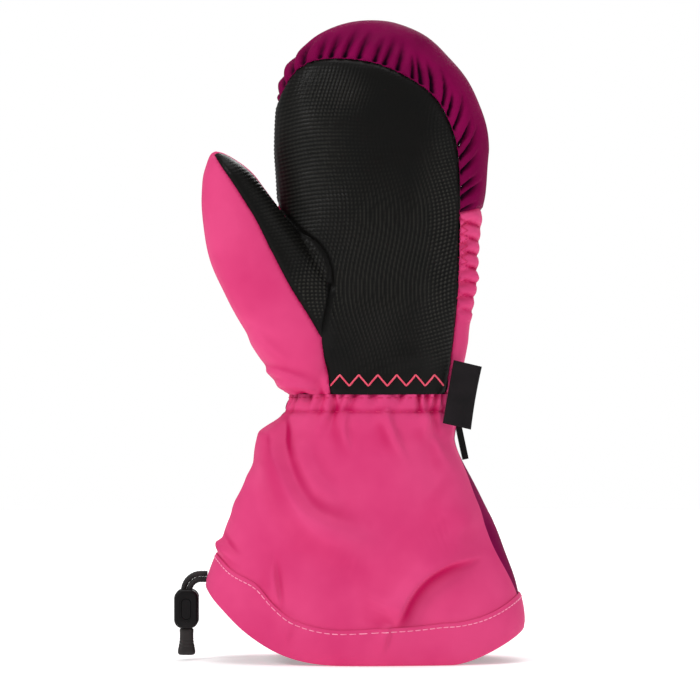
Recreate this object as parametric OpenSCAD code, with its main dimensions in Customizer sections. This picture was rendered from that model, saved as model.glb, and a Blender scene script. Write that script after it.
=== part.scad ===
// Left-hand ski mitten for a child, standing on the rim of its cuff.
// Millimetres. +Z points to the fingertips, the palm faces -Y, the thumb is on the -X side.
// The origin lies on the floor, under the middle of the cuff's mouth.

/* [Hand] */
// Width across the palm and back of the hand
hand_w = 97; // [84:1:118]
// Thickness of the padded hand, palm to back
hand_d = 50; // [42:1:60]
// Height of the fingertip end above the wrist
hand_h = 171; // [142:1:206]
// Height of the rounded fingertip end
dome_h = 58; // [48:1:66]
// Sideways shift of the hand from the middle of the mouth
hand_x = 8; // [4:0.5:12]

/* [Thumb] */
// Height of the thumb's tip above the wrist
thumb_h = 112; // [94:1:126]
// Reach of the thumb's outer side beyond the hand's thumb side
thumb_reach = 32; // [26:1:40]
// Thickness of the padded thumb
thumb_d = 30; // [26:1:36]

/* [Wrist and cuff] */
// Width at the gathered wrist
wrist_w = 75; // [66:1:90]
// Thickness at the gathered wrist
wrist_d = 45; // [38:1:54]
// Sideways shift of the wrist from the middle of the mouth
wrist_x = 4; // [0:0.5:8]
// Height of the wrist above the floor
cuff_h = 118; // [98:1:142]
// Width of the cuff's mouth, without the hem band's cloth
mouth_w = 143; // [120:1:172]
// Thickness of the cuff's mouth, without the hem band's cloth
mouth_d = 73; // [62:1:88]
// Rise of the rim at the thumb side
rim_rise = 33; // [27:1:40]
// Rise of the rim at the little-finger side
rim_rise_outer = 14; // [8:1:18]
// Height of the hem band
hem_h = 15; // [13:0.5:20]

/* [Cloth layers] */
// Thickness of the outer cloth
shell_t = 0.9; // [0.6:0.1:1.4]
// Thickness of the padding
padding_t = 3; // [2:0.1:4]
// Thickness of the waterproof insert
membrane_t = 0.4; // [0.3:0.1:0.8]
// Thickness of the fleece lining
lining_t = 1.2; // [0.8:0.1:2]
// Gap between cloth layers
layer_gap = 0.15; // [0.1:0.05:0.3]

/* [Drawcord and cord lock] */
// Diameter of one strand of the drawcord
cord_d = 2.5; // [2:0.1:3]
// Width of the cord lock
lock_w = 11; // [9.5:0.5:14]
// Thickness of the cord lock, front to back
lock_d = 12; // [12:0.5:15]
// Length of the cord lock
lock_l = 17.6; // [15:0.2:18.2]
// Travel of the cord lock's button
button_travel = 1.8; // [1.2:0.1:2]
// Length of the cord end
cord_end_l = 12; // [9:0.5:12]
// Width of the cord end's foot
cord_end_w = 8; // [6.5:0.5:10]

/* [Label, tab and hook] */
// Width of the bare side label
label_w = 13; // [10:0.5:16]
// Height of the bare side label
label_h = 28; // [22:1:32]
// Length of the hook that clips a pair together
hook_l = 21; // [18:1:24]
// Width of the hook
hook_w = 10; // [9:0.5:12]
// Thickness of the hook
hook_t = 2.8; // [2.2:0.1:3.4]

/* [Stitching] */
// Length of one zigzag along the palm's lower edge
zigzag_pitch = 8.5; // [7:0.5:11]
// Height of the zigzag
zigzag_h = 5; // [3:0.5:6]
// Diameter of the sewing thread
thread_d = 0.8; // [0.6:0.1:1]

/* [Hidden] */

// Clearance between pieces that move past each other
run_gap = 0.3;
// How far a cutter passes a face
past = 1;
// A cutter's reach where it only has to clear the whole mitten
far = 200;
// Roundness of every closed cross-section: 2 is an ellipse, more is squarer
section_n = 2.3;
// Points round a cross-section, and rows up the hand, the dome, the thumb and the cuff
ring_n = 30;
arm_rows = 7;
dome_rows = 6;
thumb_rows = 12;
cuff_rows = 6;

// Heights
wrist_z = cuff_h;
top_z = cuff_h + hand_h;
dome_z = top_z - dome_h;
palm_z = wrist_z + 3;
split_z = wrist_z + 0.5 * hand_h;
thumb_z = wrist_z + thumb_h;

// Layer depths below the outer surface
shell_in = shell_t;
padding_out = shell_in + layer_gap;
padding_in = padding_out + padding_t;
membrane_out = padding_in + layer_gap;
membrane_in = membrane_out + membrane_t;
lining_out = membrane_in + layer_gap;
lining_in = lining_out + lining_t;

function mix(a, b, t) = a + (b - a) * t;
function unit(x) = max(0, min(1, x));
function signed_pow(x, p) = sign(x) * pow(abs(x), p);
// Point i of n round a closed section, the first at the palm side, going to -X
function around(i, n = ring_n) = 360 * i / n;
function section_x(a) = -signed_pow(sin(a), 2 / section_n);
function section_y(a) = -signed_pow(cos(a), 2 / section_n);
// Half-width that an oval of power n leaves at height u of 1
function oval(u, n) = pow(max(0, 1 - pow(u, n)), 1 / n);

// A smooth curve through hand-placed points, with n steps between each two
function curve(p, n = 5) = [
    for (i = [0 : len(p) - 2], s = [0 : n - 1])
        let (t = s / n, a = p[max(0, i - 1)], b = p[i], c = p[i + 1], d = p[min(len(p) - 1, i + 2)])
            0.5 * (2 * b + (c - a) * t + (2 * a - 5 * b + 4 * c - d) * t * t
                + (3 * b - a - 3 * c + d) * t * t * t),
    p[len(p) - 1]
];

// ---- Closed meshes from rows of points ----

function ring_faces(n, rows, closed) = [
    for (r = [0 : rows - (closed ? 1 : 2)], i = [0 : n - 1])
        let (a = r * n + i, b = r * n + (i + 1) % n,
             c = ((r + 1) % rows) * n + (i + 1) % n, d = ((r + 1) % rows) * n + i)
            each [[a, b, c], [a, c, d]]
];

// A solid from flat rings stacked upwards
module stack(rings) {
    n = len(rings[0]);
    rows = len(rings);
    polyhedron(
        points = [for (r = rings) each r],
        faces = concat(ring_faces(n, rows, false),
            [[for (i = [n - 1 : -1 : 0]) i], [for (i = [0 : n - 1]) (rows - 1) * n + i]])
    );
}

// A band whose cross-section loop is carried round the cuff
module band(rings) {
    polyhedron(points = [for (r = rings) each r], faces = ring_faces(len(rings[0]), len(rings), true));
}

// A tube through points that nowhere run along Y
function along(points, i) =
    let (t = points[min(len(points) - 1, i + 1)] - points[max(0, i - 1)]) t / norm(t);
module tube(points, d, sides) {
    stack([
        for (i = [0 : len(points) - 1])
            let (t = along(points, i), s = cross(t, [0, 1, 0]), side = s / norm(s), up = cross(side, t))
                [for (k = [0 : sides - 1])
                    let (a = -360 * k / sides) points[i] + d / 2 * (cos(a) * side + sin(a) * up)]
    ]);
}

// One cut of meshes, kept as a single mesh
module as_mesh() { resize([0, 0, 0]) children(); }

// ---- The hand ----

function rise(z) = pow(unit((z - wrist_z) / (dome_z - wrist_z)), 0.8);
function hand_left(z) = mix(wrist_x - wrist_w / 2, hand_x - hand_w / 2, rise(z));
function hand_right(z) = mix(wrist_x + wrist_w / 2, hand_x + hand_w / 2, rise(z));
function hand_half_d(z) =
    let (k = unit((z - wrist_z) / (dome_z - wrist_z)))
        mix(wrist_d / 2, hand_d / 2, sin(90 * min(1, 2 * k))) - 2 * pow(max(0, 2 * k - 1), 2);

function oval_ring(left, right, mid_y, half_d, z, n = ring_n) = [
    for (i = [0 : n - 1])
        let (a = around(i, n))
            [(left + right) / 2 + (right - left) / 2 * section_x(a), mid_y + half_d * section_y(a), z]
];
function hand_ring(z, o) = oval_ring(hand_left(z) + o, hand_right(z) - o, 0, hand_half_d(z) - o, z);
function dome_ring(u, o) = oval_ring(
    hand_x - (hand_w / 2 - o) * oval(u, 2.8), hand_x + (hand_w / 2 - o) * oval(u, 1.8), 0,
    (hand_half_d(dome_z) - o) * oval(u, 2.2), dome_z + u * (dome_h - o));

// The hand's solid, o inside the outer surface
module hand_form(o) {
    stack([
        for (r = [0 : arm_rows]) hand_ring(mix(wrist_z, dome_z, r / arm_rows), o),
        for (r = [1 : dome_rows]) dome_ring(sin(88 * r / dome_rows), o)
    ]);
}

// ---- The thumb ----

// Sides of the thumb at fraction k of its height: it leans outwards from the wrist
thumb_out_x = hand_x - hand_w / 2 - thumb_reach;
thumb_seam_x = hand_x - 0.17 * hand_w;
function thumb_left(k) = mix(wrist_x - wrist_w / 2 + 1, thumb_out_x, sin(90 * unit(k / 0.8)));
function thumb_right(k) = mix(
    mix(wrist_x - wrist_w / 4, thumb_seam_x, sin(90 * unit(k / 0.3))),
    thumb_out_x + 14.5, unit((k - 0.42) / 0.58));
function thumb_front(k) = mix(-wrist_d / 2 + 6, -hand_d / 2 - 4, sin(90 * unit(k / 0.4)))
    + 5 * pow(unit((k - 0.5) / 0.5), 2);
function thumb_back(k) = mix(0, thumb_front(k) + thumb_d, sin(90 * unit(k / 0.4)));

function thumb_ring(k, o) =
    let (cap = k < 0.88 ? 1 : oval((k - 0.88) / 0.12, 2), left = thumb_left(k), right = thumb_right(k),
         mid = (left + right) / 2 - 2 * (1 - cap), half = ((right - left) / 2 - o) * cap,
         y = (thumb_front(k) + thumb_back(k)) / 2, d = ((thumb_back(k) - thumb_front(k)) / 2 - o) * cap)
        oval_ring(mid - half, mid + half, y, d, wrist_z + k * (thumb_h - o));

module thumb_form(o) {
    stack([
        for (r = [0 : thumb_rows - 4]) thumb_ring(0.88 * r / (thumb_rows - 4), o),
        for (r = [1 : 4]) thumb_ring(0.88 + 0.12 * sin(87 * r / 4), o)
    ]);
}

// Hand and thumb together, from height z up
module mitten_form(o, z) {
    intersection() {
        union() {
            hand_form(o);
            thumb_form(o);
        }
        translate([-far, -far, z]) cube([2 * far, 2 * far, far]);
    }
}
module layer(outer, inner, z) {
    difference() {
        mitten_form(outer, z);
        mitten_form(inner, z - past);
    }
}

// ---- Seams of the hand, drawn as seen from the palm side ----

// Where the palm, the thumb's palm side and the thumb's back meet
crotch = [thumb_out_x + 32, wrist_z + 0.53 * hand_h];
heel = [hand_x - 0.28 * hand_w, wrist_z + 0.16 * hand_h];
palm_left_x = hand_x - 0.24 * hand_w;
palm_right_x = hand_x + 0.36 * hand_w;

thumb_seam = curve([
    crotch,
    [mix(crotch[0], thumb_seam_x, 0.45), wrist_z + 0.44 * hand_h],
    [thumb_seam_x - 7, wrist_z + 0.41 * hand_h],
    [thumb_seam_x, wrist_z + 0.33 * hand_h],
    [thumb_seam_x, wrist_z + 0.26 * hand_h],
    heel
]);
palm_arch = curve([
    [palm_right_x - 6, wrist_z],
    [palm_right_x - 2, wrist_z + 0.15 * hand_h],
    [palm_right_x, wrist_z + 0.38 * hand_h],
    [palm_right_x, dome_z - 0.05 * dome_h],
    [hand_x + 0.24 * hand_w, dome_z + 0.42 * dome_h],
    [hand_x + 0.08 * hand_w, dome_z + 0.63 * dome_h],
    [hand_x - 0.16 * hand_w, dome_z + 0.7 * dome_h],
    [hand_x - 0.36 * hand_w, dome_z + 0.65 * dome_h],
    [hand_x - 0.47 * hand_w, dome_z + 0.46 * dome_h]
]);
thumb_edge = curve([
    heel,
    [mix(thumb_seam_x, thumb_out_x, 0.32), wrist_z + 0.31 * hand_h],
    [thumb_out_x + 20, wrist_z + 0.46 * hand_h],
    [thumb_out_x + 6, thumb_z - 10],
    [thumb_out_x + 1, thumb_z + past]
]);

// A wall along Y under an outline in X and Z, from y0 to y1
module seen_from_palm(outline, y0, y1) {
    translate([0, y1, 0]) rotate([90, 0, 0]) linear_extrude(y1 - y0) polygon(outline);
}
// The palm wraps over the index finger's side as far as this line, just clear of the thumb
palm_wrap_x = hand_x - hand_w / 2 - 1.5;
palm_outline = concat(palm_arch, [[palm_wrap_x, palm_arch[len(palm_arch) - 1][1]], [palm_wrap_x, crotch[1] + 4]],
    thumb_seam, [[palm_left_x, wrist_z]]);
// The palm is cut first, then the thumb's palm side, so each later outline reaches a little over the seam
function shifted(p, dx) = [for (q = p) q + [dx, 0]];
thumb_palm_outline = concat(shifted(thumb_seam, 1.5), [for (i = [1 : len(thumb_edge) - 1]) thumb_edge[i]],
    [[thumb_out_x + 30, thumb_z + past], [crotch[0] + 1, crotch[1] + 4]]);
seam_upwards = [for (i = [len(thumb_seam) - 1 : -1 : 0]) thumb_seam[i]];
thumb_side_outline = concat([[-far, wrist_z - past], [palm_left_x + 3, wrist_z - past]],
    shifted(seam_upwards, 3),
    [crotch + [3, 4], [thumb_out_x + 30, thumb_z + past], [-far, thumb_z + past]]);
thumb_back_outline = [
    [-far, wrist_z - past], [palm_left_x - 8, wrist_z - past], crotch,
    [crotch[0] + 1, crotch[1] + 4], [thumb_out_x + 30, thumb_z + past], [-far, thumb_z + past]
];
module palm_side() { seen_from_palm(palm_outline, -far, 2); }
module thumb_palm_side() {
    mid_y = (thumb_front(0.7) + thumb_back(0.7)) / 2;
    seen_from_palm(thumb_palm_outline, -far, mid_y);
}
module thumb_region() {
    seen_from_palm(thumb_side_outline, -far, 0);
    seen_from_palm(thumb_back_outline, 0, far);
}

module palm_panel() color([0.1, 0.1, 0.1]) as_mesh() {
    intersection() {
        layer(0, shell_in, palm_z);
        palm_side();
    }
}
module thumb_palm_panel() color([0.12, 0.12, 0.12]) as_mesh() {
    intersection() {
        layer(0, shell_in, palm_z);
        difference() {
            thumb_palm_side();
            palm_side();
        }
    }
}
module thumb_back_panel() color([0.85, 0.25, 0.47]) as_mesh() {
    intersection() {
        difference() {
            layer(0, shell_in, palm_z);
            palm_side();
            thumb_palm_side();
        }
        thumb_region();
    }
}
module upper_back() {
    difference() {
        layer(0, shell_in, palm_z);
        palm_side();
        thumb_palm_side();
        thumb_region();
    }
}
module fingertip_panel() color([0.5, 0.05, 0.3]) as_mesh() {
    intersection() {
        upper_back();
        translate([-far, -far, split_z]) cube(2 * far);
    }
}
module back_panel() color([0.86, 0.27, 0.5]) as_mesh() {
    intersection() {
        upper_back();
        translate([-far, -far, split_z - 2 * far]) cube(2 * far);
    }
}

// ---- Inner layers ----

// The thumb's own share of a layer, beyond the hand's side
module thumb_share() {
    seen_from_palm([
        [-far, wrist_z + 0.1 * hand_h], [hand_left(wrist_z + 0.1 * hand_h) + 6, wrist_z + 0.1 * hand_h],
        [crotch[0] + 7, crotch[1]], [thumb_out_x + 30, thumb_z + past], [-far, thumb_z + past]
    ], -far, far);
}
padding_z = wrist_z + 8;
module hand_padding() color([0.95, 0.95, 0.9]) as_mesh() {
    difference() {
        layer(padding_out, padding_in, padding_z);
        thumb_share();
    }
}
module thumb_padding() color([0.93, 0.93, 0.88]) as_mesh() {
    intersection() {
        layer(padding_out, padding_in, padding_z);
        thumb_share();
    }
}
module waterproof_insert() color([0.8, 0.85, 0.9]) as_mesh() {
    layer(membrane_out, membrane_in, wrist_z + 4);
}
module hand_lining() color([0.3, 0.3, 0.32]) as_mesh() {
    difference() {
        layer(lining_out, lining_in, wrist_z);
        thumb_share();
    }
}
module thumb_lining() color([0.28, 0.28, 0.3]) as_mesh() {
    intersection() {
        layer(lining_out, lining_in, wrist_z);
        thumb_share();
    }
}

// ---- The cuff ----

// Height of the rim where the mouth's edge is at x, as a fraction of its half-width
function rim(x) = x < 0 ? rim_rise * pow(max(0, (-x - 0.12) / 0.88), 2.5)
    : rim_rise_outer * pow(max(0, (x - 0.55) / 0.45), 1.6);
// Sides and half-thickness at fraction v of the way from the wrist to the rim
function cuff_left(v) = mix(wrist_x - wrist_w / 2, -mouth_w / 2, v) - 2 * sin(180 * v);
function cuff_right(v) = mix(wrist_x + wrist_w / 2, mouth_w / 2,
    pow(sin(90 * unit((v - 0.17) / 0.83)), 1.25));
function cuff_half_d(v) = mix(wrist_d / 2, mouth_d / 2, sin(90 * unit(v)));
function cuff_point(a, v, o) =
    let (left = cuff_left(v) + o, right = cuff_right(v) - o)
        [(left + right) / 2 + (right - left) / 2 * section_x(a), (cuff_half_d(v) - o) * section_y(a),
            mix(wrist_z, rim(section_x(a)), v)];
// The same at height h above the rim
function above_rim(a, h, o) = cuff_point(a, 1 - h / (wrist_z - rim(section_x(a))), o);
function cuff_ring(v, o) = [for (i = [0 : ring_n - 1]) cuff_point(around(i), v, o)];
function rim_ring(h, o) = [for (i = [0 : ring_n - 1]) above_rim(around(i), h, o)];
// Ring at fraction t of the way from the wrist to height h above the rim
function between_ring(t, h, o) = [
    for (i = [0 : ring_n - 1])
        let (a = around(i), v1 = 1 - h / (wrist_z - rim(section_x(a)))) cuff_point(a, t * v1, o)
];

// The hem band's cloth lies outside the cuff's, and its channel holds the drawcord
hem_out = -1;
hem_ply = 0.8;
channel_in = padding_out + cord_d;
tuck_h = hem_ply + cord_d + 1.2;
cord_o = (hem_out + hem_ply + channel_in) / 2;
cord_h = hem_ply + cord_d / 2 + 0.2;

module cuff_wall() {
    band([
        for (z = [palm_z, wrist_z]) hand_ring(z, 0),
        for (r = [1 : cuff_rows]) between_ring(r / cuff_rows, tuck_h, 0),
        for (r = [cuff_rows : -1 : 1]) between_ring(r / cuff_rows, tuck_h, shell_in),
        for (z = [wrist_z, palm_z]) hand_ring(z, shell_in)
    ]);
}
// Everything on the palm side of the cuff's side seams; the outer seam bows to the palm side
module cuff_palm_side() {
    seam_low = rim_rise_outer + hem_h;
    seam_high = 0.8 * cuff_h;
    bow = 0.19 * mouth_d;
    outer = [
        for (k = [0 : 10])
            [-bow * sin(180 * k / 10), mix(seam_low, seam_high, k / 10)]
    ];
    translate([-far, -far, -past]) cube([far, far, far]);
    rotate([90, 0, 90]) linear_extrude(far)
        polygon(concat([[-far, -past], [0, -past]], outer, [[0, far - past], [-far, far - past]]));
}
module cuff_palm_panel() color([0.85, 0.25, 0.47]) as_mesh() {
    intersection() {
        cuff_wall();
        cuff_palm_side();
    }
}
module cuff_back_panel() color([0.42, 0.07, 0.26]) as_mesh() {
    difference() {
        cuff_wall();
        cuff_palm_side();
    }
}
// The lining closes in on the outer cloth below the wrist
function lining_ring(r, depth) =
    between_ring(r / cuff_rows, tuck_h, mix(lining_out, padding_out + 0.6, min(1, 2 * r / cuff_rows)) + depth);
module cuff_lining() color([0.3, 0.3, 0.32]) {
    band([
        for (r = [0 : cuff_rows]) lining_ring(r, 0),
        for (r = [cuff_rows : -1 : 0]) lining_ring(r, lining_t)
    ]);
}

// The drawcord leaves the hem at the thumb side, its two strands one above the other
strand_pitch = cord_d + 0.1;
pair_w = strand_pitch + cord_d;
exit_hole_h = pair_w + 5 * run_gap;
exit_h = hem_ply + 0.5 + exit_hole_h / 2;
exit_at = above_rim(90, exit_h, hem_out);
module hem_band() color([0.86, 0.27, 0.5]) as_mesh() {
    difference() {
        band([
            rim_ring(hem_h, hem_out), rim_ring(hem_h / 2, hem_out), rim_ring(0, hem_out),
            rim_ring(0, channel_in + hem_ply), rim_ring(hem_h, channel_in + hem_ply),
            rim_ring(hem_h, channel_in), rim_ring(hem_ply, channel_in),
            rim_ring(hem_ply, hem_out + hem_ply), rim_ring(hem_h, hem_out + hem_ply)
        ]);
        translate([exit_at[0], 0, exit_at[2]])
            cube([2 * (hem_ply + past), cord_d + 3 * run_gap, exit_hole_h], center = true);
    }
}
module hem_drawcord() color([0.12, 0.12, 0.12]) {
    band([
        for (k = [7 : -1 : 0])
            rim_ring(cord_h + cord_d / 2 * sin(45 * k), cord_o + cord_d / 2 * cos(45 * k))
    ]);
}

elastic_t = 0.8;
function below_wrist(h, o) = between_ring(h / (wrist_z - rim_rise), tuck_h, o);
module wrist_elastic() color([0.9, 0.9, 0.9]) {
    o = shell_in + run_gap;
    band([
        hand_ring(wrist_z + 2, o), hand_ring(wrist_z, o), below_wrist(3, o), below_wrist(6, o),
        below_wrist(6, o + elastic_t), below_wrist(3, o + elastic_t),
        hand_ring(wrist_z, o + elastic_t), hand_ring(wrist_z + 2, o + elastic_t)
    ]);
}

// ---- Drawcord tail and cord lock, hanging at the thumb side ----

end_low = 2;
end_socket = 5;
lock_low = end_low + cord_end_l + run_gap;
lock_top = lock_low + lock_l;
lock_mid_z = (lock_low + lock_top) / 2;
tail_start = exit_at - [run_gap, 0, 0];
bend_r = 6.5;
tail_x = tail_start[0] - 3 - bend_r;
// Points of the strand whose centre is off to one side of the pair's middle
function strand_points(off) = concat(
    [tail_start + [0, 0, off]],
    [for (a = [0 : 15 : 90])
        [tail_x + bend_r - (bend_r + off) * sin(a), 0, tail_start[2] - bend_r + (bend_r + off) * cos(a)]],
    [for (z = [lock_mid_z, lock_low, end_low + cord_end_l - end_socket]) [tail_x - off, 0, z]]
);
module drawcord_outer_strand() color([0.15, 0.14, 0.14]) tube(strand_points(strand_pitch / 2), cord_d, 8);
module drawcord_inner_strand() color([0.15, 0.14, 0.14]) tube(strand_points(-strand_pitch / 2), cord_d, 8);

// Rounded upright of width w and height h, centred on the tail, from y0 to y1
module lock_block(w, h, r, y0, y1) {
    translate([tail_x, y1, lock_mid_z]) rotate([90, 0, 0]) linear_extrude(y1 - y0)
        hull() for (x = [-1, 1], z = [-1, 1]) translate([x * (w / 2 - r), z * (h / 2 - r)]) circle(r, $fn = 24);
}
lock_wall = 1;
lock_front = -lock_d / 2;
lock_back = lock_d / 2 - lock_wall;
button_wall = 1;
cord_room = cord_d + 2 * run_gap;
window_d = cord_room + button_travel;
button_d = window_d + 2 * button_wall;
// The window in the button lies round the strands, which are at its rear end
button_front = cord_room / 2 - window_d - button_wall;
button_back = button_front + button_d;
cavity_w = lock_w - 2 * lock_wall;
cavity_h = lock_l - 6;
nose_w = 4;
nose_h = 9;

module cord_lock_barrel() color([0.2, 0.15, 0.16]) {
    funnel = 4.5;
    difference() {
        lock_block(lock_w, lock_l, 4, lock_front, lock_back);
        lock_block(cavity_w, cavity_h, 2, button_front - run_gap, lock_d / 2);
        lock_block(nose_w + 2 * run_gap, nose_h + 2 * run_gap, nose_w / 2 + 0.2, lock_front - past, 0);
        translate([tail_x, 0, lock_mid_z])
            cube([pair_w + 2 * run_gap, cord_room, lock_l + 2 * past], center = true);
        // The strands come in over the side that faces the hem
        translate([tail_x, cord_room / 2, lock_top - funnel]) rotate([90, 0, 0]) linear_extrude(cord_room)
            polygon([[0, 0], [0, funnel + past], [lock_w, funnel + past], [lock_w, 3], [pair_w / 2, 0]]);
    }
}
module cord_lock_cap() color([0.18, 0.14, 0.15]) lock_block(lock_w, lock_l, 4, lock_back, lock_d / 2);
module cord_lock_button() color([0.08, 0.08, 0.08]) {
    side_gap = 0.15;
    difference() {
        union() {
            lock_block(cavity_w - 2 * side_gap, cavity_h - 2 * side_gap, 2 - side_gap, button_front, button_back);
            lock_block(nose_w, nose_h, nose_w / 2 - 0.1, lock_front + 0.4, button_front + 0.1);
        }
        translate([tail_x, button_front + button_wall + window_d / 2, lock_mid_z])
            cube([pair_w + 2 * run_gap, window_d, lock_l], center = true);
    }
}
// A wave spring against the cap, as flat as it is with the button pressed
module cord_lock_spring() color([0.75, 0.75, 0.78]) {
    wire = 0.3;
    half_w = cavity_w / 2 - 1.2;
    steps = 24;
    y0 = button_back + button_travel + 0.05;
    wave_d = lock_back - wire - y0;
    wave = [
        for (k = [0 : steps])
            [mix(-half_w, half_w, k / steps), -y0 - wave_d * (0.5 - 0.5 * cos(720 * k / steps))]
    ];
    translate([tail_x, 0, lock_mid_z - 2]) linear_extrude(4) mirror([0, 1]) polygon(concat(
        wave, [for (k = [steps : -1 : 0]) [wave[k][0], wave[k][1] - wire]]));
}
module cord_end() color([0.24, 0.2, 0.2]) {
    top_z = end_low + cord_end_l;
    difference() {
        hull() {
            translate([tail_x, 0, top_z - 0.5]) linear_extrude(0.5)
                square([pair_w + 1.4, cord_d + 1.4], center = true);
            translate([tail_x, 0, end_low + 2]) linear_extrude(1.5) offset(1.5, $fn = 24)
                square([cord_end_w - 3, cord_d], center = true);
            translate([tail_x, 0, end_low]) linear_extrude(0.5)
                square([cord_end_w - 2.4, cord_d], center = true);
        }
        translate([tail_x, 0, top_z - end_socket]) linear_extrude(cord_end_l)
            square([pair_w + 0.1, cord_d + 0.1], center = true);
    }
}

// ---- Label, tab and hook on the little-finger side ----

// Middle, half-width and half-thickness of the outer surface at height z, on the little-finger side
function outer_section(z) =
    let (v = (wrist_z - z) / (wrist_z - rim_rise_outer), low = z < wrist_z,
         left = low ? cuff_left(v) : hand_left(z), right = low ? cuff_right(v) : hand_right(z))
        [(left + right) / 2, (right - left) / 2, low ? cuff_half_d(v) : hand_half_d(z)];
// y of the palm side's surface at x, and x of the little-finger side's surface at y
function front_y(x, z) = let (s = outer_section(z)) -s[2] * oval(unit(abs(x - s[0]) / s[1]), section_n);
function side_x(y, z) = let (s = outer_section(z)) s[0] + s[1] * oval(unit(abs(y) / s[2]), section_n);

// The label is sewn in by its left edge, which follows the cloth
label_lean = 12;
label_t = 0.5;
label_x = wrist_x + wrist_w / 2 - 5.5;
label_z = wrist_z + 2;
label_side = label_h / 2 * sin(label_lean);
label_top_y = front_y(label_x + label_side, label_z + label_h / 2);
label_low_y = front_y(label_x - label_side, label_z - label_h / 2);
module side_label() color([0.16, 0.14, 0.14]) {
    translate([label_x, (label_top_y + label_low_y) / 2 - run_gap, label_z])
        rotate([-atan((label_top_y - label_low_y) / label_h), label_lean, 0])
            translate([0, -label_t, -label_h / 2]) cube([label_w, label_t, label_h]);
}

// The hook hangs beside the seam, behind the label, and leans on the flaring cuff
tab_ply = 0.9;
tab_w = hook_w - 4;
tab_rise = 7;
eye_bar = 2;
tab_r = norm([hook_t, eye_bar]) / 2 + run_gap;
eye_slot = tab_r + tab_ply + run_gap - eye_bar / 2;
hook_lean = -12;
hook_pin_z = wrist_z - 8;
hook_y = wrist_d / 4 + 2.5;
hook_pin_x = side_x(hook_y - hook_w / 2, hook_pin_z) + 0.5 * run_gap + tab_r + tab_ply - 0.6;
// The hook's outline in its own plane, with the pin line at zero
module hook_outline() {
    wire = 1.9;
    half = hook_w / 2 - wire - 1.1;
    difference() {
        translate([-hook_w / 2 + 2, eye_bar / 2 - hook_l + 2]) offset(2, $fn = 32)
            square([hook_w - 4, hook_l - 4]);
        translate([-tab_w / 2 - run_gap, -eye_bar / 2 - eye_slot]) square([tab_w + 2 * run_gap, eye_slot]);
        hull() {
            translate([0.3, -eye_bar / 2 - eye_slot - 1.6 - wire]) circle(wire, $fn = 24);
            translate([0.3, eye_bar / 2 - hook_l + 2 + wire]) circle(wire, $fn = 24);
        }
        translate([0, -hook_l / 2 - 1.5]) rotate(-35) square([hook_w, 1]);
    }
}
module pair_hook() color([0.2, 0.17, 0.17]) {
    translate([hook_pin_x, hook_y, hook_pin_z]) rotate([0, hook_lean, 0])
        rotate([90, 0, 90]) linear_extrude(hook_t, center = true) hook_outline();
}
// A loop of webbing round the hook's top bar, sewn to the side of the wrist
module hook_tab() color([0.1, 0.1, 0.1]) {
    translate([hook_pin_x, hook_y, hook_pin_z]) rotate([90, 0, 0]) linear_extrude(tab_w, center = true)
        difference() {
            union() {
                circle(tab_r + tab_ply, $fn = 48);
                translate([-tab_r - tab_ply, 0]) square([2 * tab_ply, tab_rise]);
            }
            circle(tab_r, $fn = 48);
        }
}

// ---- Stitching ----

module thread_through(points, d) tube(points, d, 4);
palm_low_w = palm_right_x - 6 - palm_left_x;
zigzags = floor(palm_low_w / zigzag_pitch);
module palm_zigzag_stitching() color([0.9, 0.3, 0.42]) {
    mid_z = palm_z + 6;
    thread_through([
        for (k = [0 : 2 * zigzags])
            let (x = palm_left_x + 1 + k * zigzag_pitch / 2, z = mid_z + zigzag_h / 2 * (k % 2 == 0 ? -1 : 1))
                [x, front_y(x, z) - thread_d / 2 - run_gap, z]
    ], thread_d);
}
stitch = 3;
module hem_topstitching() color([0.95, 0.5, 0.66]) {
    o = hem_out - thread_d / 2 - layer_gap;
    count = 48;
    for (k = [0 : count - 1])
        let (a = 360 * k / count, b = a + 3)
            if (abs(a - 90) > 12)
                thread_through([above_rim(a, hem_h - 2, o), above_rim(b, hem_h - 2, o)], thread_d / 2);
}
module wrist_stitching() color([0.75, 0.1, 0.35]) {
    count = 36;
    o = -thread_d / 2 - layer_gap;
    for (k = [0 : count - 1], v = [0, 0.06])
        let (a = 360 * k / count, b = a + 4)
            if (section_x(a) < 0.75 || section_y(a) > 0.75)
                thread_through([cuff_point(a, v, o), cuff_point(b, v, o)], thread_d / 2);
}
side_low = wrist_z + 0.35 * hand_h;
side_high = split_z - 4;
side_x = palm_right_x + 2.5;
module side_stitching() color([0.8, 0.12, 0.4]) {
    zigs = 12;
    thread_through([
        for (k = [0 : zigs])
            let (z = mix(side_low, side_high, k / zigs), x = side_x + (k % 2 == 0 ? -1.4 : 1.4))
                [x, front_y(x, z) - thread_d / 2 - run_gap, z]
    ], thread_d / 2);
}

palm_panel();
thumb_palm_panel();
thumb_back_panel();
fingertip_panel();
back_panel();
cuff_palm_panel();
cuff_back_panel();
hem_band();
hand_padding();
thumb_padding();
waterproof_insert();
hand_lining();
thumb_lining();
cuff_lining();
wrist_elastic();
hem_drawcord();
drawcord_outer_strand();
drawcord_inner_strand();
cord_lock_barrel();
cord_lock_cap();
cord_lock_button();
cord_lock_spring();
cord_end();
side_label();
hook_tab();
pair_hook();
palm_zigzag_stitching();
hem_topstitching();
wrist_stitching();
side_stitching();
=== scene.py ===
"""A child's left-hand ski mitten, standing on the rim of its cuff.

Lengths are written in millimetres and scaled by MM where a mesh is made.
+Z points to the fingertips, the palm faces -Y and the thumb is on the -X side.
"""

import math

import bmesh
import bpy
import numpy as np
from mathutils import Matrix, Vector
from mathutils.bvhtree import BVHTree
from mathutils.kdtree import KDTree


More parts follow.
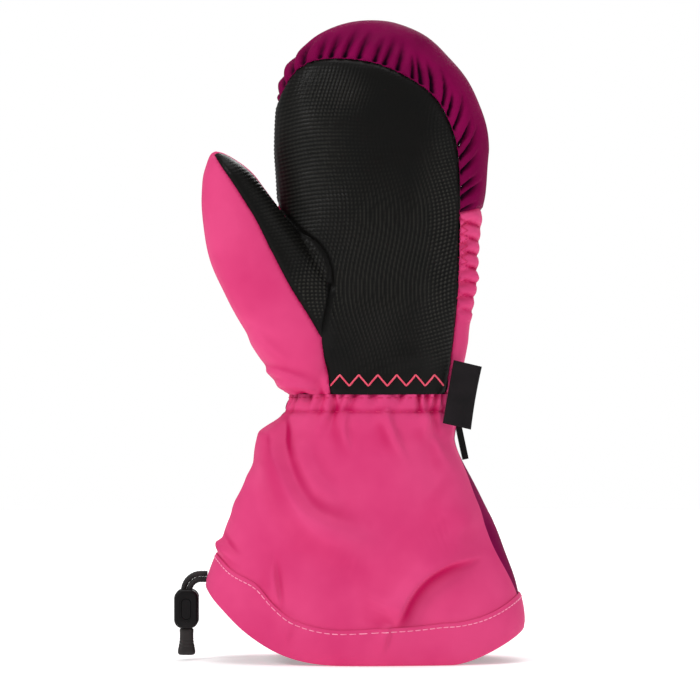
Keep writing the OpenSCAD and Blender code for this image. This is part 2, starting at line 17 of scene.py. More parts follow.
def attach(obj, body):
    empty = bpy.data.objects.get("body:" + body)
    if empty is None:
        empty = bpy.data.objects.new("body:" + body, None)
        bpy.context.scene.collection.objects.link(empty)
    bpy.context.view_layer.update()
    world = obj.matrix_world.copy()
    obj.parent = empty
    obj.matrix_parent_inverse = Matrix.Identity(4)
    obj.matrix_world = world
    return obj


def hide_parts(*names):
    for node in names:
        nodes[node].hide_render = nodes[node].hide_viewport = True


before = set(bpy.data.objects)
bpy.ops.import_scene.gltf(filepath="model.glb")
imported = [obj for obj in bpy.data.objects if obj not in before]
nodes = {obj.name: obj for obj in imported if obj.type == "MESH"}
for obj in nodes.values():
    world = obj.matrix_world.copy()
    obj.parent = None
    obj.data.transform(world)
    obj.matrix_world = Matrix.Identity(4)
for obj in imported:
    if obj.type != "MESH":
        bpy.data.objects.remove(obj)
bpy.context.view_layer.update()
scene = bpy.context.scene
MM = 0.001

# ---- Sizes shared with the CAD part ----

HAND_W, HAND_D, HAND_X = 97, 50, 8
WRIST_W, WRIST_D, WRIST_X, WRIST_Z = 75, 45, 4, 118
DOME_Z, DOME_H = 231, 58
THUMB_H, THUMB_D, THUMB_OUT_X = 112, 30, -72.5
THUMB_SEAM_X = -8.49
MOUTH_W, MOUTH_D = 143, 73
RIM_RISE, RIM_RISE_OUTER = 33, 14
SECTION_N = 2.3
SHELL_T = 0.9
CORD_D = 2.5
SPLIT_Z = 203.5
CROTCH = (-40.5, 208.6)
# The line where the gathered hand meets the cuff
WAIST_Z = 120.5


def mix(a, b, t):
    return a + (b - a) * t


def unit(x):
    return np.clip(x, 0, 1)


def ease(x):
    x = unit(x)
    return x * x * (3 - 2 * x)


def bell(x, width):
    return np.exp(-((x / width) ** 2))


def signed_pow(x, p):
    return np.sign(x) * np.abs(x) ** p


def sin_deg(x):
    return np.sin(np.radians(x))


def cos_deg(x):
    return np.cos(np.radians(x))


def oval(u, n):
    return np.maximum(0, 1 - np.abs(u) ** n) ** (1 / n)


def smooth_curve(points, steps=6):
    """A smooth curve through given points."""
    p = np.array(points, float)
    out = []
    for i in range(len(p) - 1):
        a, b, c, d = p[max(0, i - 1)], p[i], p[i + 1], p[min(len(p) - 1, i + 2)]
        for s in range(steps):
            t = s / steps
            out.append(
                0.5
                * (
                    2 * b
                    + (c - a) * t
                    + (2 * a - 5 * b + 4 * c - d) * t * t
                    + (3 * b - a - 3 * c + d) * t * t * t
                )
            )
    out.append(p[-1])
    return np.array(out)


# ---- Forms of the hand, the thumb and the cuff ----


def section_x(a):
    return -signed_pow(sin_deg(a), 2 / SECTION_N)


def section_y(a):
    return -signed_pow(cos_deg(a), 2 / SECTION_N)


def rise(z):
    return unit((z - WRIST_Z) / (DOME_Z - WRIST_Z)) ** 0.8


def hand_left(z):
    return mix(WRIST_X - WRIST_W / 2, HAND_X - HAND_W / 2, rise(z))


def hand_right(z):
    return mix(WRIST_X + WRIST_W / 2, HAND_X + HAND_W / 2, rise(z))


def hand_half_d(z):
    k = unit((z - WRIST_Z) / (DOME_Z - WRIST_Z))
    widening = sin_deg(90 * np.minimum(1, 2 * k))
    return mix(WRIST_D / 2, HAND_D / 2, widening) - 2 * np.maximum(0, 2 * k - 1) ** 2


def oval_ring(left, right, mid_y, half_d, z, count):
    a = 360 * np.arange(count) / count
    x = (left + right) / 2 + (right - left) / 2 * section_x(a)
    y = mid_y + half_d * section_y(a)
    return np.stack([x, y, np.full(count, z)], 1)


def hand_form(inset, count):
    """Rings of the hand, inset inside its outer surface."""
    rings = []
    for z in np.linspace(WRIST_Z - 10, DOME_Z, 50):
        rings.append(
            oval_ring(hand_left(z) + inset, hand_right(z) - inset, 0, hand_half_d(z) - inset, z, count)
        )
    for r in range(1, 25):
        u = math.sin(math.radians(89 * r / 24))
        half = HAND_W / 2 - inset
        rings.append(
            oval_ring(
                HAND_X - half * oval(u, 2.8),
                HAND_X + half * oval(u, 1.8),
                0,
                (hand_half_d(DOME_Z) - inset) * oval(u, 2.2),
                DOME_Z + u * (DOME_H - inset),
                count,
            )
        )
    return rings


def thumb_form(inset, count):
    """Rings of the thumb, which leans outwards from the wrist."""
    rings = []
    low = list(np.linspace(-0.09, 0.88, 44))
    tip = [0.88 + 0.12 * math.sin(math.radians(89 * r / 14)) for r in range(1, 15)]
    for k in low + tip:
        cap = 1 if k < 0.88 else float(oval((k - 0.88) / 0.12, 2))
        left = mix(-32.5, THUMB_OUT_X, sin_deg(90 * unit(k / 0.8)))
        right = mix(
            mix(-14.75, THUMB_SEAM_X, sin_deg(90 * unit(k / 0.3))),
            THUMB_OUT_X + 14.5,
            unit((k - 0.42) / 0.58),
        )
        front = mix(-16.5, -29, sin_deg(90 * unit(k / 0.4))) + 5 * unit((k - 0.5) / 0.5) ** 2
        back = mix(0, front + THUMB_D, sin_deg(90 * unit(k / 0.4)))
        mid = (left + right) / 2 - 2 * (1 - cap)
        half = ((right - left) / 2 - inset) * cap
        depth = ((back - front) / 2 - inset) * cap
        z = WRIST_Z + k * (THUMB_H - inset)
        rings.append(oval_ring(mid - half, mid + half, (front + back) / 2, depth, z, count))
    return rings


def rim(x):
    """Height of the cuff's rim at a fraction x of its half-width."""
    left = RIM_RISE * np.maximum(0, (-x - 0.12) / 0.88) ** 2.5
    right = RIM_RISE_OUTER * np.maximum(0, (x - 0.55) / 0.45) ** 1.6
    return np.where(x < 0, left, right)


def cuff_sides(v):
    """Left side, right side and half-thickness of the cuff at fraction v from the wrist to the rim."""
    w = unit(v)
    left = mix(WRIST_X - WRIST_W / 2, -MOUTH_W / 2, w) - 2 * sin_deg(180 * w)
    right = mix(WRIST_X + WRIST_W / 2, MOUTH_W / 2, sin_deg(90 * unit((w - 0.17) / 0.83)) ** 1.25)
    half_d = mix(WRIST_D / 2, MOUTH_D / 2, sin_deg(90 * w))
    return left, right, half_d


# ---- Arrays of points and faces ----


def stack_faces(rows, count, closed=True):
    """Quads between rings of count points; closed joins the last point of a ring to its first."""
    r = np.arange(rows - 1)[:, None]
    i = np.arange(count if closed else count - 1)[None, :]
    j = (i + 1) % count
    quads = np.stack([r * count + i, r * count + j, (r + 1) * count + j, (r + 1) * count + i], -1)
    return quads.reshape(-1, 4)


def as_triangles(quads):
    return np.concatenate([quads[:, [0, 1, 2]], quads[:, [0, 2, 3]]])


def make_mesh(name, points, faces):
    mesh = bpy.data.meshes.new(name)
    mesh.from_pydata((np.asarray(points) * MM).tolist(), [], [list(f) for f in faces])
    mesh.validate()
    mesh.shade_smooth()
    return mesh


def make_piece(name, points, faces, material, body="mitten", sharp=55):
    mesh = make_mesh(name, points, faces)
    if sharp:
        mesh.set_sharp_from_angle(angle=math.radians(sharp))
    mesh.materials.append(material)
    piece = bpy.data.objects.new(name, mesh)
    scene.collection.objects.link(piece)
    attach(piece, body)
    return piece


def mesh_arrays(mesh):
    mesh.calc_loop_triangles()
    points = np.zeros(len(mesh.vertices) * 3)
    mesh.vertices.foreach_get("co", points)
    triangles = np.zeros(len(mesh.loop_triangles) * 3, np.int32)
    mesh.loop_triangles.foreach_get("vertices", triangles)
    return points.reshape(-1, 3) / MM, triangles.reshape(-1, 3).astype(int)


def one_skin(forms, grain):
    """The outer skin of overlapping closed forms, as triangles about grain long."""
    points, faces, base = [], [], 0
    for rings in forms:
        count = len(rings[0])
        points.append(np.concatenate(rings))
        faces += (stack_faces(len(rings), count) + base).tolist()
        faces.append([base + i for i in range(count)][::-1])
        faces.append([base + (len(rings) - 1) * count + i for i in range(count)])
        base += len(rings) * count
    mesh = make_mesh("forms", np.concatenate(points), faces)
    lump = bpy.data.objects.new("forms", mesh)
    scene.collection.objects.link(lump)
    remesh = lump.modifiers.new("skin", "REMESH")
    remesh.mode = "VOXEL"
    remesh.voxel_size = grain * MM
    shape = lump.evaluated_get(bpy.context.evaluated_depsgraph_get()).to_mesh()
    out = mesh_arrays(shape)
    bpy.data.objects.remove(lump)
    bpy.data.meshes.remove(mesh)
    return out


def edges_of(triangles):
    pairs = np.concatenate([triangles[:, [0, 1]], triangles[:, [1, 2]], triangles[:, [2, 0]]])
    return np.unique(np.sort(pairs, 1), axis=0)


def smoothed(points, triangles, rounds):
    """Evens out the points without shrinking the form."""
    edges = edges_of(triangles)
    count = len(points)
    degree = np.bincount(edges.ravel(), minlength=count)[:, None]
    for _ in range(rounds):
        for weight in (0.55, -0.57):
            total = np.zeros_like(points)
            for axis in range(3):
                total[:, axis] = np.bincount(edges[:, 0], points[edges[:, 1], axis], count)
                total[:, axis] += np.bincount(edges[:, 1], points[edges[:, 0], axis], count)
            points = points + weight * (total / np.maximum(degree, 1) - points)
    return points


def normals_of(points, triangles):
    a, b, c = (points[triangles[:, i]] for i in range(3))
    face = np.cross(b - a, c - a)
    out = np.zeros_like(points)
    for axis in range(3):
        for corner in range(3):
            out[:, axis] += np.bincount(triangles[:, corner], face[:, axis], len(points))
    return out / np.maximum(np.linalg.norm(out, axis=1), 1e-9)[:, None]


def cut(points, triangles, labels, field):
    """Splits the triangles where field changes sign, so that a seam can run along it."""
    field = np.where(np.abs(field) < 0.1, 0, field)
    sides = field[triangles]
    crossing = np.stack([sides[:, i] * sides[:, (i + 1) % 3] < 0 for i in range(3)], 1)
    cuts = crossing.sum(1)
    ends = np.concatenate([triangles[crossing[:, i]][:, [i, (i + 1) % 3]] for i in range(3)])
    pairs, place = np.unique(np.sort(ends, 1), axis=0, return_inverse=True)
    place = place.ravel()
    share = field[pairs[:, 0]] / (field[pairs[:, 0]] - field[pairs[:, 1]])
    fresh = mix(points[pairs[:, 0]], points[pairs[:, 1]], share[:, None])
    midpoint = np.full((len(triangles), 3), -1)
    begin = 0
    for i in range(3):
        rows = np.nonzero(crossing[:, i])[0]
        midpoint[rows, i] = len(points) + place[begin : begin + len(rows)]
        begin += len(rows)
    keep = cuts == 0
    out, out_labels = [triangles[keep]], [labels[keep]]
    # One crossed edge: the seam runs through the corner opposite it
    for i in range(3):
        rows = (cuts == 1) & crossing[:, i]
        a, b, c = (triangles[rows, (i + k) % 3] for k in range(3))
        m = midpoint[rows, i]
        out += [np.stack([a, m, c], 1), np.stack([m, b, c], 1)]
        out_labels += [labels[rows]] * 2
    # Two crossed edges: they meet in corner a
    for i in range(3):
        rows = (cuts == 2) & ~crossing[:, (i + 1) % 3]
        a, b, c = (triangles[rows, (i + k) % 3] for k in range(3))
        ab, ca = midpoint[rows, i], midpoint[rows, (i + 2) % 3]
        out += [np.stack([a, ab, ca], 1), np.stack([ab, b, c], 1), np.stack([ab, c, ca], 1)]
        out_labels += [labels[rows]] * 3
    return np.concatenate([points, fresh]), np.concatenate(out), np.concatenate(out_labels)


def line_distance(x, z, line):
    """Distance to a line in X and Z, its sign (+ on the line's left), and how far along it from 0 to 1."""
    steps = np.linalg.norm(np.diff(line, axis=0), axis=1)
    starts = np.concatenate([[0], np.cumsum(steps)])
    best = np.full(x.shape, 1e9)
    along = np.zeros(x.shape)
    side = np.ones(x.shape)
    for i, step in enumerate(steps):
        dx, dz = (line[i + 1] - line[i]) / step
        rx, rz = x - line[i, 0], z - line[i, 1]
        t = np.clip(rx * dx + rz * dz, 0, step)
        gap = np.hypot(rx - t * dx, rz - t * dz)
        near = gap < best
        best = np.where(near, gap, best)
        along = np.where(near, starts[i] + t, along)
        side = np.where(near, np.where(dx * rz - dz * rx >= 0, 1, -1), side)
    return best, side, along / starts[-1], starts[-1]


def inside_distance(x, z, outline):
    """Distance to a closed outline, negative inside it."""
    loop = np.concatenate([outline, outline[:1]])
    gap = line_distance(x, z, loop)[0]
    inside = np.zeros(x.shape, bool)
    for (ax, az), (bx, bz) in zip(loop[:-1], loop[1:]):
        if az != bz:
            inside ^= ((az > z) != (bz > z)) & (x < ax + (z - az) * (bx - ax) / (bz - az))
    return np.where(inside, -gap, gap)


def thick_piece(name, points, triangles, normals, material, body="mitten", thickness=SHELL_T, sharp=55):
    """A cloth panel: the outer points, a copy thickness further in, and a rim between the two."""
    used, local = np.unique(triangles, return_inverse=True)
    local = local.reshape(-1, 3)
    outer = points[used]
    inner = outer - thickness * normals[used]
    count = len(used)
    pairs = np.concatenate([local[:, [0, 1]], local[:, [1, 2]], local[:, [2, 0]]])
    keys = np.sort(pairs, 1)
    _, first, times = np.unique(keys, axis=0, return_index=True, return_counts=True)
    border = pairs[first[times == 1]]
    rim_quads = np.stack([border[:, 1], border[:, 0], border[:, 0] + count, border[:, 1] + count], 1)
    faces = local.tolist() + (local[:, ::-1] + count).tolist() + rim_quads.tolist()
    return make_piece(name, np.concatenate([outer, inner]), faces, material, body, sharp)


def store_painted_light(piece, marks):
    """Stores each point's painted light on the outer face, 0 to 1, such as painted shade by how deep in a
    fold it lies; the inner face gets the same.
    """
    marks = np.asarray(marks, float).ravel()
    layer = piece.data.attributes.new(PAINTED_LIGHT_ATTRIBUTE, "FLOAT", "POINT")
    layer.data.foreach_set("value", np.concatenate([marks, marks]))


def evened(values, triangles, rounds):
    """Values averaged with their neighbours' again and again."""
    edges = edges_of(triangles)
    count = len(values)
    degree = np.maximum(np.bincount(edges.ravel(), minlength=count), 1)
    for _ in range(rounds):
        total = np.bincount(edges[:, 0], values[edges[:, 1]], count)
        total += np.bincount(edges[:, 1], values[edges[:, 0]], count)
        values = (values + total / degree) / 2
    return values


def finer(points, triangles):
    """Each triangle split in four."""
    edges = edges_of(triangles)
    lookup = {(a, b): len(points) + i for i, (a, b) in enumerate(edges.tolist())}
    mids = np.array(
        [
            [lookup[(min(p, q), max(p, q))] for p, q in ((a, b), (b, c), (c, a))]
            for a, b, c in triangles.tolist()
        ]
    )
    a, b, c = triangles.T
    ab, bc, ca = mids.T
    out = np.concatenate(
        [np.stack(t, 1) for t in ((a, ab, ca), (ab, b, bc), (ca, bc, c), (ab, bc, ca))]
    )
    return np.concatenate([points, points[edges].mean(1)]), out


# ---- Materials ----


def linear(red, green, blue):
    """A colour given in display values, as the shader wants it."""
    out = []
    for value in (red, green, blue):
        c = value / 255
        out.append(c / 12.92 if c <= 0.04045 else ((c + 0.055) / 1.055) ** 2.4)
    return (*out, 1)


def new_group(name, inputs, outputs):
    group = bpy.data.node_groups.new(name, "ShaderNodeTree")
    for label, kind, value in inputs:
        socket = group.interface.new_socket(label, in_out="INPUT", socket_type=kind)
        if value is not None:
            socket.default_value = value
    for label, kind in outputs:
        group.interface.new_socket(label, in_out="OUTPUT", socket_type=kind)
    start = group.nodes.new("NodeGroupInput")
    end = group.nodes.new("NodeGroupOutput")
    return group, start, end


def math_node(tree, operation, a, b=None):
    node = tree.nodes.new("ShaderNodeMath")
    node.operation = operation
    for socket, value in zip(node.inputs, (a, b)):
        if value is None:
            continue
        if hasattr(value, "links"):
            tree.links.new(value, socket)
        else:
            socket.default_value = value
    return node.outputs[0]


def weave_group():
    """Crossing threads: Height for a bump, and Tone to vary the colour a little."""
    group, start, end = new_group(
        "weave",
        [("Pitch", "NodeSocketFloat", 0.5), ("Blotch", "NodeSocketFloat", 30.0)],
        [("Height", "NodeSocketFloat"), ("Tone", "NodeSocketFloat")],
    )
    where = group.nodes.new("ShaderNodeTexCoord")
    parts = group.nodes.new("ShaderNodeSeparateXYZ")
    group.links.new(where.outputs["Object"], parts.inputs[0])
    rate = math_node(group, "DIVIDE", 2 * math.pi / MM, start.outputs["Pitch"])
    level = math_node(group, "MULTIPLY", parts.outputs["Z"], rate)
    share_of_y = math_node(group, "MULTIPLY", parts.outputs["Y"], 0.8)
    across_xy = math_node(group, "ADD", parts.outputs["X"], share_of_y)
    across = math_node(group, "MULTIPLY", across_xy, rate)
    warp = math_node(group, "SINE", level)
    weft = math_node(group, "SINE", across)
    crossing = math_node(group, "MULTIPLY", warp, weft)
    fibre = group.nodes.new("ShaderNodeTexNoise")
    fibre.inputs["Scale"].default_value = 2600
    fibre.inputs["Detail"].default_value = 2
    group.links.new(where.outputs["Object"], fibre.inputs["Vector"])
    height = math_node(group, "ADD", math_node(group, "MULTIPLY", crossing, 0.5), fibre.outputs["Fac"])
    group.links.new(height, end.inputs["Height"])
    blotch = group.nodes.new("ShaderNodeTexNoise")
    blotch.inputs["Detail"].default_value = 3
    group.links.new(start.outputs["Blotch"], blotch.inputs["Scale"])
    group.links.new(where.outputs["Object"], blotch.inputs["Vector"])
    group.links.new(blotch.outputs["Fac"], end.inputs["Tone"])
    return group


def grain_group():
    """Fine moulded or leathery grain: Height for a bump, and Wear where handling has polished it."""
    group, start, end = new_group(
        "grain",
        [("Size", "NodeSocketFloat", 0.4)],
        [("Height", "NodeSocketFloat"), ("Wear", "NodeSocketFloat")],
    )
    where = group.nodes.new("ShaderNodeTexCoord")
    scale = math_node(group, "DIVIDE", 1 / MM, start.outputs["Size"])
    cells = group.nodes.new("ShaderNodeTexVoronoi")
    group.links.new(where.outputs["Object"], cells.inputs["Vector"])
    group.links.new(scale, cells.inputs["Scale"])
    group.links.new(cells.outputs["Distance"], end.inputs["Height"])
    patch = group.nodes.new("ShaderNodeTexNoise")
    patch.inputs["Scale"].default_value = 90
    patch.inputs["Detail"].default_value = 4
    group.links.new(where.outputs["Object"], patch.inputs["Vector"])
    group.links.new(patch.outputs["Fac"], end.inputs["Wear"])
    return group


def pile_group():
    """Short fleece pile: Height for a bump, and Tone for its tufts."""
    group, start, end = new_group(
        "pile",
        [("Tuft", "NodeSocketFloat", 1.2)],
        [("Height", "NodeSocketFloat"), ("Tone", "NodeSocketFloat")],
    )
    where = group.nodes.new("ShaderNodeTexCoord")
    scale = math_node(group, "DIVIDE", 1 / MM, start.outputs["Tuft"])
    tufts = group.nodes.new("ShaderNodeTexNoise")
    tufts.inputs["Detail"].default_value = 6
    tufts.inputs["Roughness"].default_value = 0.7
    group.links.new(where.outputs["Object"], tufts.inputs["Vector"])
    group.links.new(scale, tufts.inputs["Scale"])
    group.links.new(tufts.outputs["Fac"], end.inputs["Height"])
    group.links.new(tufts.outputs["Fac"], end.inputs["Tone"])
    return group


WEAVE, GRAIN, PILE = weave_group(), grain_group(), pile_group()


# Point attribute that holds painted light: painted shade in folds and creases of the cloth, a painted
# highlight on the grip's ribs.
PAINTED_LIGHT_ATTRIBUTE = "fold"


def finish_material(
    name,
    dark,
    light,
    group,
    setting,
    bump_depth,
    roughness,
    specular=0.5,
    sheen=0.0,
    sheen_tint=None,
    roughness_spread=0.0,
    tone_range=(0.35, 0.65),
    painted_light_colour=None,
):
    """One finish: two close colours mixed by the group's mask, painted light from the points' attribute where
    a colour for it is given, and a bump from its height.
    """
    material = bpy.data.materials.new(name)
    material.use_nodes = True
    tree = material.node_tree
    shader = next(n for n in tree.nodes if n.type == "BSDF_PRINCIPLED")
    shader.inputs["Roughness"].default_value = roughness
    shader.inputs["Specular IOR Level"].default_value = specular
    shader.inputs["Sheen Weight"].default_value = sheen
    if sheen_tint:
        shader.inputs["Sheen Tint"].default_value = sheen_tint
        shader.inputs["Sheen Roughness"].default_value = 0.4
    effect = tree.nodes.new("ShaderNodeGroup")
    effect.node_tree = group
    for label, value in setting.items():
        effect.inputs[label].default_value = value
    mask = effect.outputs[1]
    spread = tree.nodes.new("ShaderNodeMapRange")
    spread.inputs["From Min"].default_value = tone_range[0]
    spread.inputs["From Max"].default_value = tone_range[1]
    tree.links.new(mask, spread.inputs["Value"])
    colour = tree.nodes.new("ShaderNodeMix")
    colour.data_type = "RGBA"
    colour.inputs["A"].default_value = dark
    colour.inputs["B"].default_value = light
    tree.links.new(spread.outputs["Result"], colour.inputs["Factor"])
    base = colour
    # Painted light: the base colour is mixed towards the given painted shade or highlight colour by the
    # points' stored attribute.
    if painted_light_colour:
        fold = tree.nodes.new("ShaderNodeAttribute")
        fold.attribute_name = PAINTED_LIGHT_ATTRIBUTE
        base = tree.nodes.new("ShaderNodeMix")
        base.data_type = "RGBA"
        base.inputs["B"].default_value = painted_light_colour
        tree.links.new(fold.outputs["Fac"], base.inputs["Factor"])
        tree.links.new(colour.outputs["Result"], base.inputs["A"])
    tree.links.new(base.outputs["Result"], shader.inputs["Base Color"])
    if roughness_spread:
        rough = tree.nodes.new("ShaderNodeMapRange")
        rough.inputs["From Min"].default_value = tone_range[0]
        rough.inputs["From Max"].default_value = tone_range[1]
        rough.inputs["To Min"].default_value = roughness + roughness_spread
        rough.inputs["To Max"].default_value = roughness - roughness_spread
        tree.links.new(mask, rough.inputs["Value"])
        tree.links.new(rough.outputs["Result"], shader.inputs["Roughness"])
    bump = tree.nodes.new("ShaderNodeBump")
    bump.inputs["Distance"].default_value = bump_depth * MM
    bump.inputs["Strength"].default_value = 1
    tree.links.new(effect.outputs["Height"], bump.inputs["Height"])
    tree.links.new(bump.outputs["Normal"], shader.inputs["Normal"])
    return material


# The pink cloth's last colour is painted shade, mixed into creases and fold hollows.
pink_cloth = finish_material(
    "pink_cloth", linear(210, 56, 114), linear(221, 70, 126), WEAVE, {"Pitch": 0.45, "Blotch": 28},
    0.035, 0.62, specular=0.1, sheen=0.06, sheen_tint=linear(255, 190, 215), painted_light_colour=linear(186, 6, 82),
)
# The berry cloth's last colour is painted shade, near black, mixed into creases and fold hollows.
berry_cloth = finish_material(
    "berry_cloth", linear(112, 4, 62), linear(132, 6, 73), WEAVE, {"Pitch": 0.4, "Blotch": 40},
    0.03, 0.6, specular=0.03, painted_light_colour=linear(30, 3, 24),
)
# The grip's last colour is a painted highlight, mixed onto the crests of its ribs.
grip_black = finish_material(
    "grip_black", linear(10, 10, 9), linear(15, 14, 13), GRAIN, {"Size": 0.35},
    0.03, 0.42, specular=0.1, roughness_spread=0.08, painted_light_colour=linear(58, 57, 52),
)
lining_fleece = finish_material(
    "lining_fleece", linear(52, 52, 56), linear(84, 84, 90), PILE, {"Tuft": 1.1},
    0.5, 0.95, specular=0.1, sheen=0.3, sheen_tint=linear(200, 200, 210),
)
wadding = finish_material(
    "wadding", linear(225, 224, 218), linear(242, 241, 236), PILE, {"Tuft": 2.0}, 0.4, 0.95, specular=0.1,
)
membrane = finish_material(
    "membrane", linear(190, 200, 210), linear(208, 216, 224), WEAVE, {"Pitch": 0.3, "Blotch": 20},
    0.01, 0.35, specular=0.4,
)
elastic = finish_material(
    "elastic", linear(215, 213, 208), linear(235, 233, 228), WEAVE, {"Pitch": 0.9, "Blotch": 60},
    0.15, 0.75, specular=0.2,
)
cord_black = finish_material(
    "cord_black", linear(20, 19, 19), linear(38, 35, 35), WEAVE, {"Pitch": 0.35, "Blotch": 200},
    0.04, 0.6, specular=0.3, sheen=0.1,
)
lock_plastic = finish_material(
    "lock_plastic", linear(8, 6, 7), linear(13, 10, 11), GRAIN, {"Size": 0.25},
    0.008, 0.4, specular=0.16, roughness_spread=0.08,
)
end_rubber = finish_material(
    "end_rubber", linear(30, 26, 26), linear(40, 35, 34), GRAIN, {"Size": 0.3},
    0.012, 0.48, specular=0.3, roughness_spread=0.08,
)
spring_steel = finish_material(
    "spring_steel", linear(170, 172, 176), linear(200, 202, 206), GRAIN, {"Size": 0.1},
    0.002, 0.3, specular=0.6,
)
steel_shader = next(n for n in spring_steel.node_tree.nodes if n.type == "BSDF_PRINCIPLED")
steel_shader.inputs["Metallic"].default_value = 1
label_tape = finish_material(
    "label_tape", linear(15, 12, 14), linear(24, 19, 22), WEAVE, {"Pitch": 0.5, "Blotch": 120},
    0.05, 0.6, specular=0.14,
)
webbing = finish_material(
    "webbing", linear(18, 17, 17), linear(32, 30, 30), WEAVE, {"Pitch": 0.8, "Blotch": 90},
    0.15, 0.7, specular=0.25,
)
coral_thread = finish_material(
    "coral_thread", linear(226, 66, 96), linear(240, 96, 118), WEAVE, {"Pitch": 0.3, "Blotch": 300},
    0.03, 0.5, specular=0.35,
)
pale_thread = finish_material(
    "pale_thread", linear(240, 130, 170), linear(250, 165, 195), WEAVE, {"Pitch": 0.3, "Blotch": 300},
    0.03, 0.5, specular=0.3,
)
pink_thread = finish_material(
    "pink_thread", linear(196, 30, 92), linear(212, 46, 106), WEAVE, {"Pitch": 0.3, "Blotch": 300},
    0.03, 0.5, specular=0.3,
)

# ---- Stage: camera, floor and light ----

VIEW_X, VIEW_Z, VIEW_W = -6.4, 140.4, 315
CAMERA_Y = -1700
FRONT_Y = -15

lens_data = bpy.data.cameras.new("camera")
camera = bpy.data.objects.new("camera", lens_data)
scene.collection.objects.link(camera)
scene.camera = camera
camera.location = (VIEW_X * MM, CAMERA_Y * MM, VIEW_Z * MM)
camera.rotation_euler = (math.radians(90), 0, 0)
lens_data.lens = lens_data.sensor_width * (FRONT_Y - CAMERA_Y) / VIEW_W
lens_data.clip_end = 20

floor_mesh = bpy.data.meshes.new("floor")
floor_shape = bmesh.new()
bmesh.ops.create_circle(floor_shape, cap_ends=True, segments=96, radius=1.6)
floor_shape.to_mesh(floor_mesh)
floor_shape.free()
floor = bpy.data.objects.new("floor", floor_mesh)
scene.collection.objects.link(floor)
floor.location = (0, 0, -0.0002)
floor_white = bpy.data.materials.new("floor_white")
floor_white.use_nodes = True
floor_shader = next(n for n in floor_white.node_tree.nodes if n.type == "BSDF_PRINCIPLED")
floor_shader.inputs["Base Color"].default_value = (0.95, 0.95, 0.95, 1)
floor_shader.inputs["Roughness"].default_value = 1
floor_shader.inputs["Specular IOR Level"].default_value = 0
floor_shader.inputs["Emission Color"].default_value = (1, 1, 1, 1)
floor_shader.inputs["Emission Strength"].default_value = 0.3
floor_mesh.materials.append(floor_white)

world = bpy.data.worlds.new("studio")
scene.world = world
world.use_nodes = True
sky = next(n for n in world.node_tree.nodes if n.type == "BACKGROUND")
sky.inputs["Color"].default_value = (1, 1, 1, 1)
sky.inputs["Strength"].default_value = 0.42
backdrop = world.node_tree.nodes.new("ShaderNodeBackground")
backdrop.inputs["Color"].default_value = (1, 1, 1, 1)
backdrop.inputs["Strength"].default_value = 1
seen = world.node_tree.nodes.new("ShaderNodeLightPath")
choose = world.node_tree.nodes.new("ShaderNodeMixShader")
world_out = next(n for n in world.node_tree.nodes if n.type == "OUTPUT_WORLD")
world.node_tree.links.new(seen.outputs["Is Camera Ray"], choose.inputs[0])
world.node_tree.links.new(sky.outputs[0], choose.inputs[1])
world.node_tree.links.new(backdrop.outputs[0], choose.inputs[2])
world.node_tree.links.new(choose.outputs[0], world_out.inputs[0])
scene.view_settings.view_transform = "Standard"


def soft_light(name, place, size, power):
    data = bpy.data.lights.new(name, "AREA")
    data.shape = "DISK"
    data.size = size
    data.energy = power
    lamp = bpy.data.objects.new(name, data)
    scene.collection.objects.link(lamp)
    lamp.location = place
    aim = Vector((0, 0, 0.14)) - Vector(place)
    lamp.rotation_euler = aim.to_track_quat("-Z", "Y").to_euler()
    return lamp


soft_light("key_light", (-1.3, -1.1, 1.2), 0.5, 14.5)
soft_light("fill_light", (1.5, -1.2, 0.6), 1.2, 5)
soft_light("back_light", (0.4, 1.6, 1.2), 1.2, 14)
soft_light("top_light", (0, 0, 1.9), 1.4, 12)

# ---- Drawcord tail: two strands from the hem into the cord lock ----

EXIT_X, EXIT_Z = -71.0819, 37.6
STRAND_OFF = 1.3
BEND_R = 6.5
TAIL_X = EXIT_X - 3 - BEND_R
TAIL_END_Z = 9.0


def strand_route(off):
    """The strand's centreline, off to one side of the pair's middle, with its points close together."""
    points = [(EXIT_X, 0, EXIT_Z + off)]
    for a in np.linspace(0, 90, 19):
        r = BEND_R + off
        points.append((TAIL_X + BEND_R - r * sin_deg(a), 0, EXIT_Z - BEND_R + r * cos_deg(a)))
    for z in np.arange(EXIT_Z - BEND_R - 0.6, TAIL_END_Z, -0.6):
        points.append((TAIL_X - off, 0, z))
    points.append((TAIL_X - off, 0, TAIL_END_Z))
    return np.array(points)


def resampled(route, step):
    gaps = np.linalg.norm(np.diff(route, axis=0), axis=1)
    place = np.concatenate([[0], np.cumsum(gaps)])
    count = max(2, int(round(place[-1] / step)) + 1)
    at = np.linspace(0, place[-1], count)
    return np.stack([np.interp(at, place, route[:, k]) for k in range(3)], 1), at


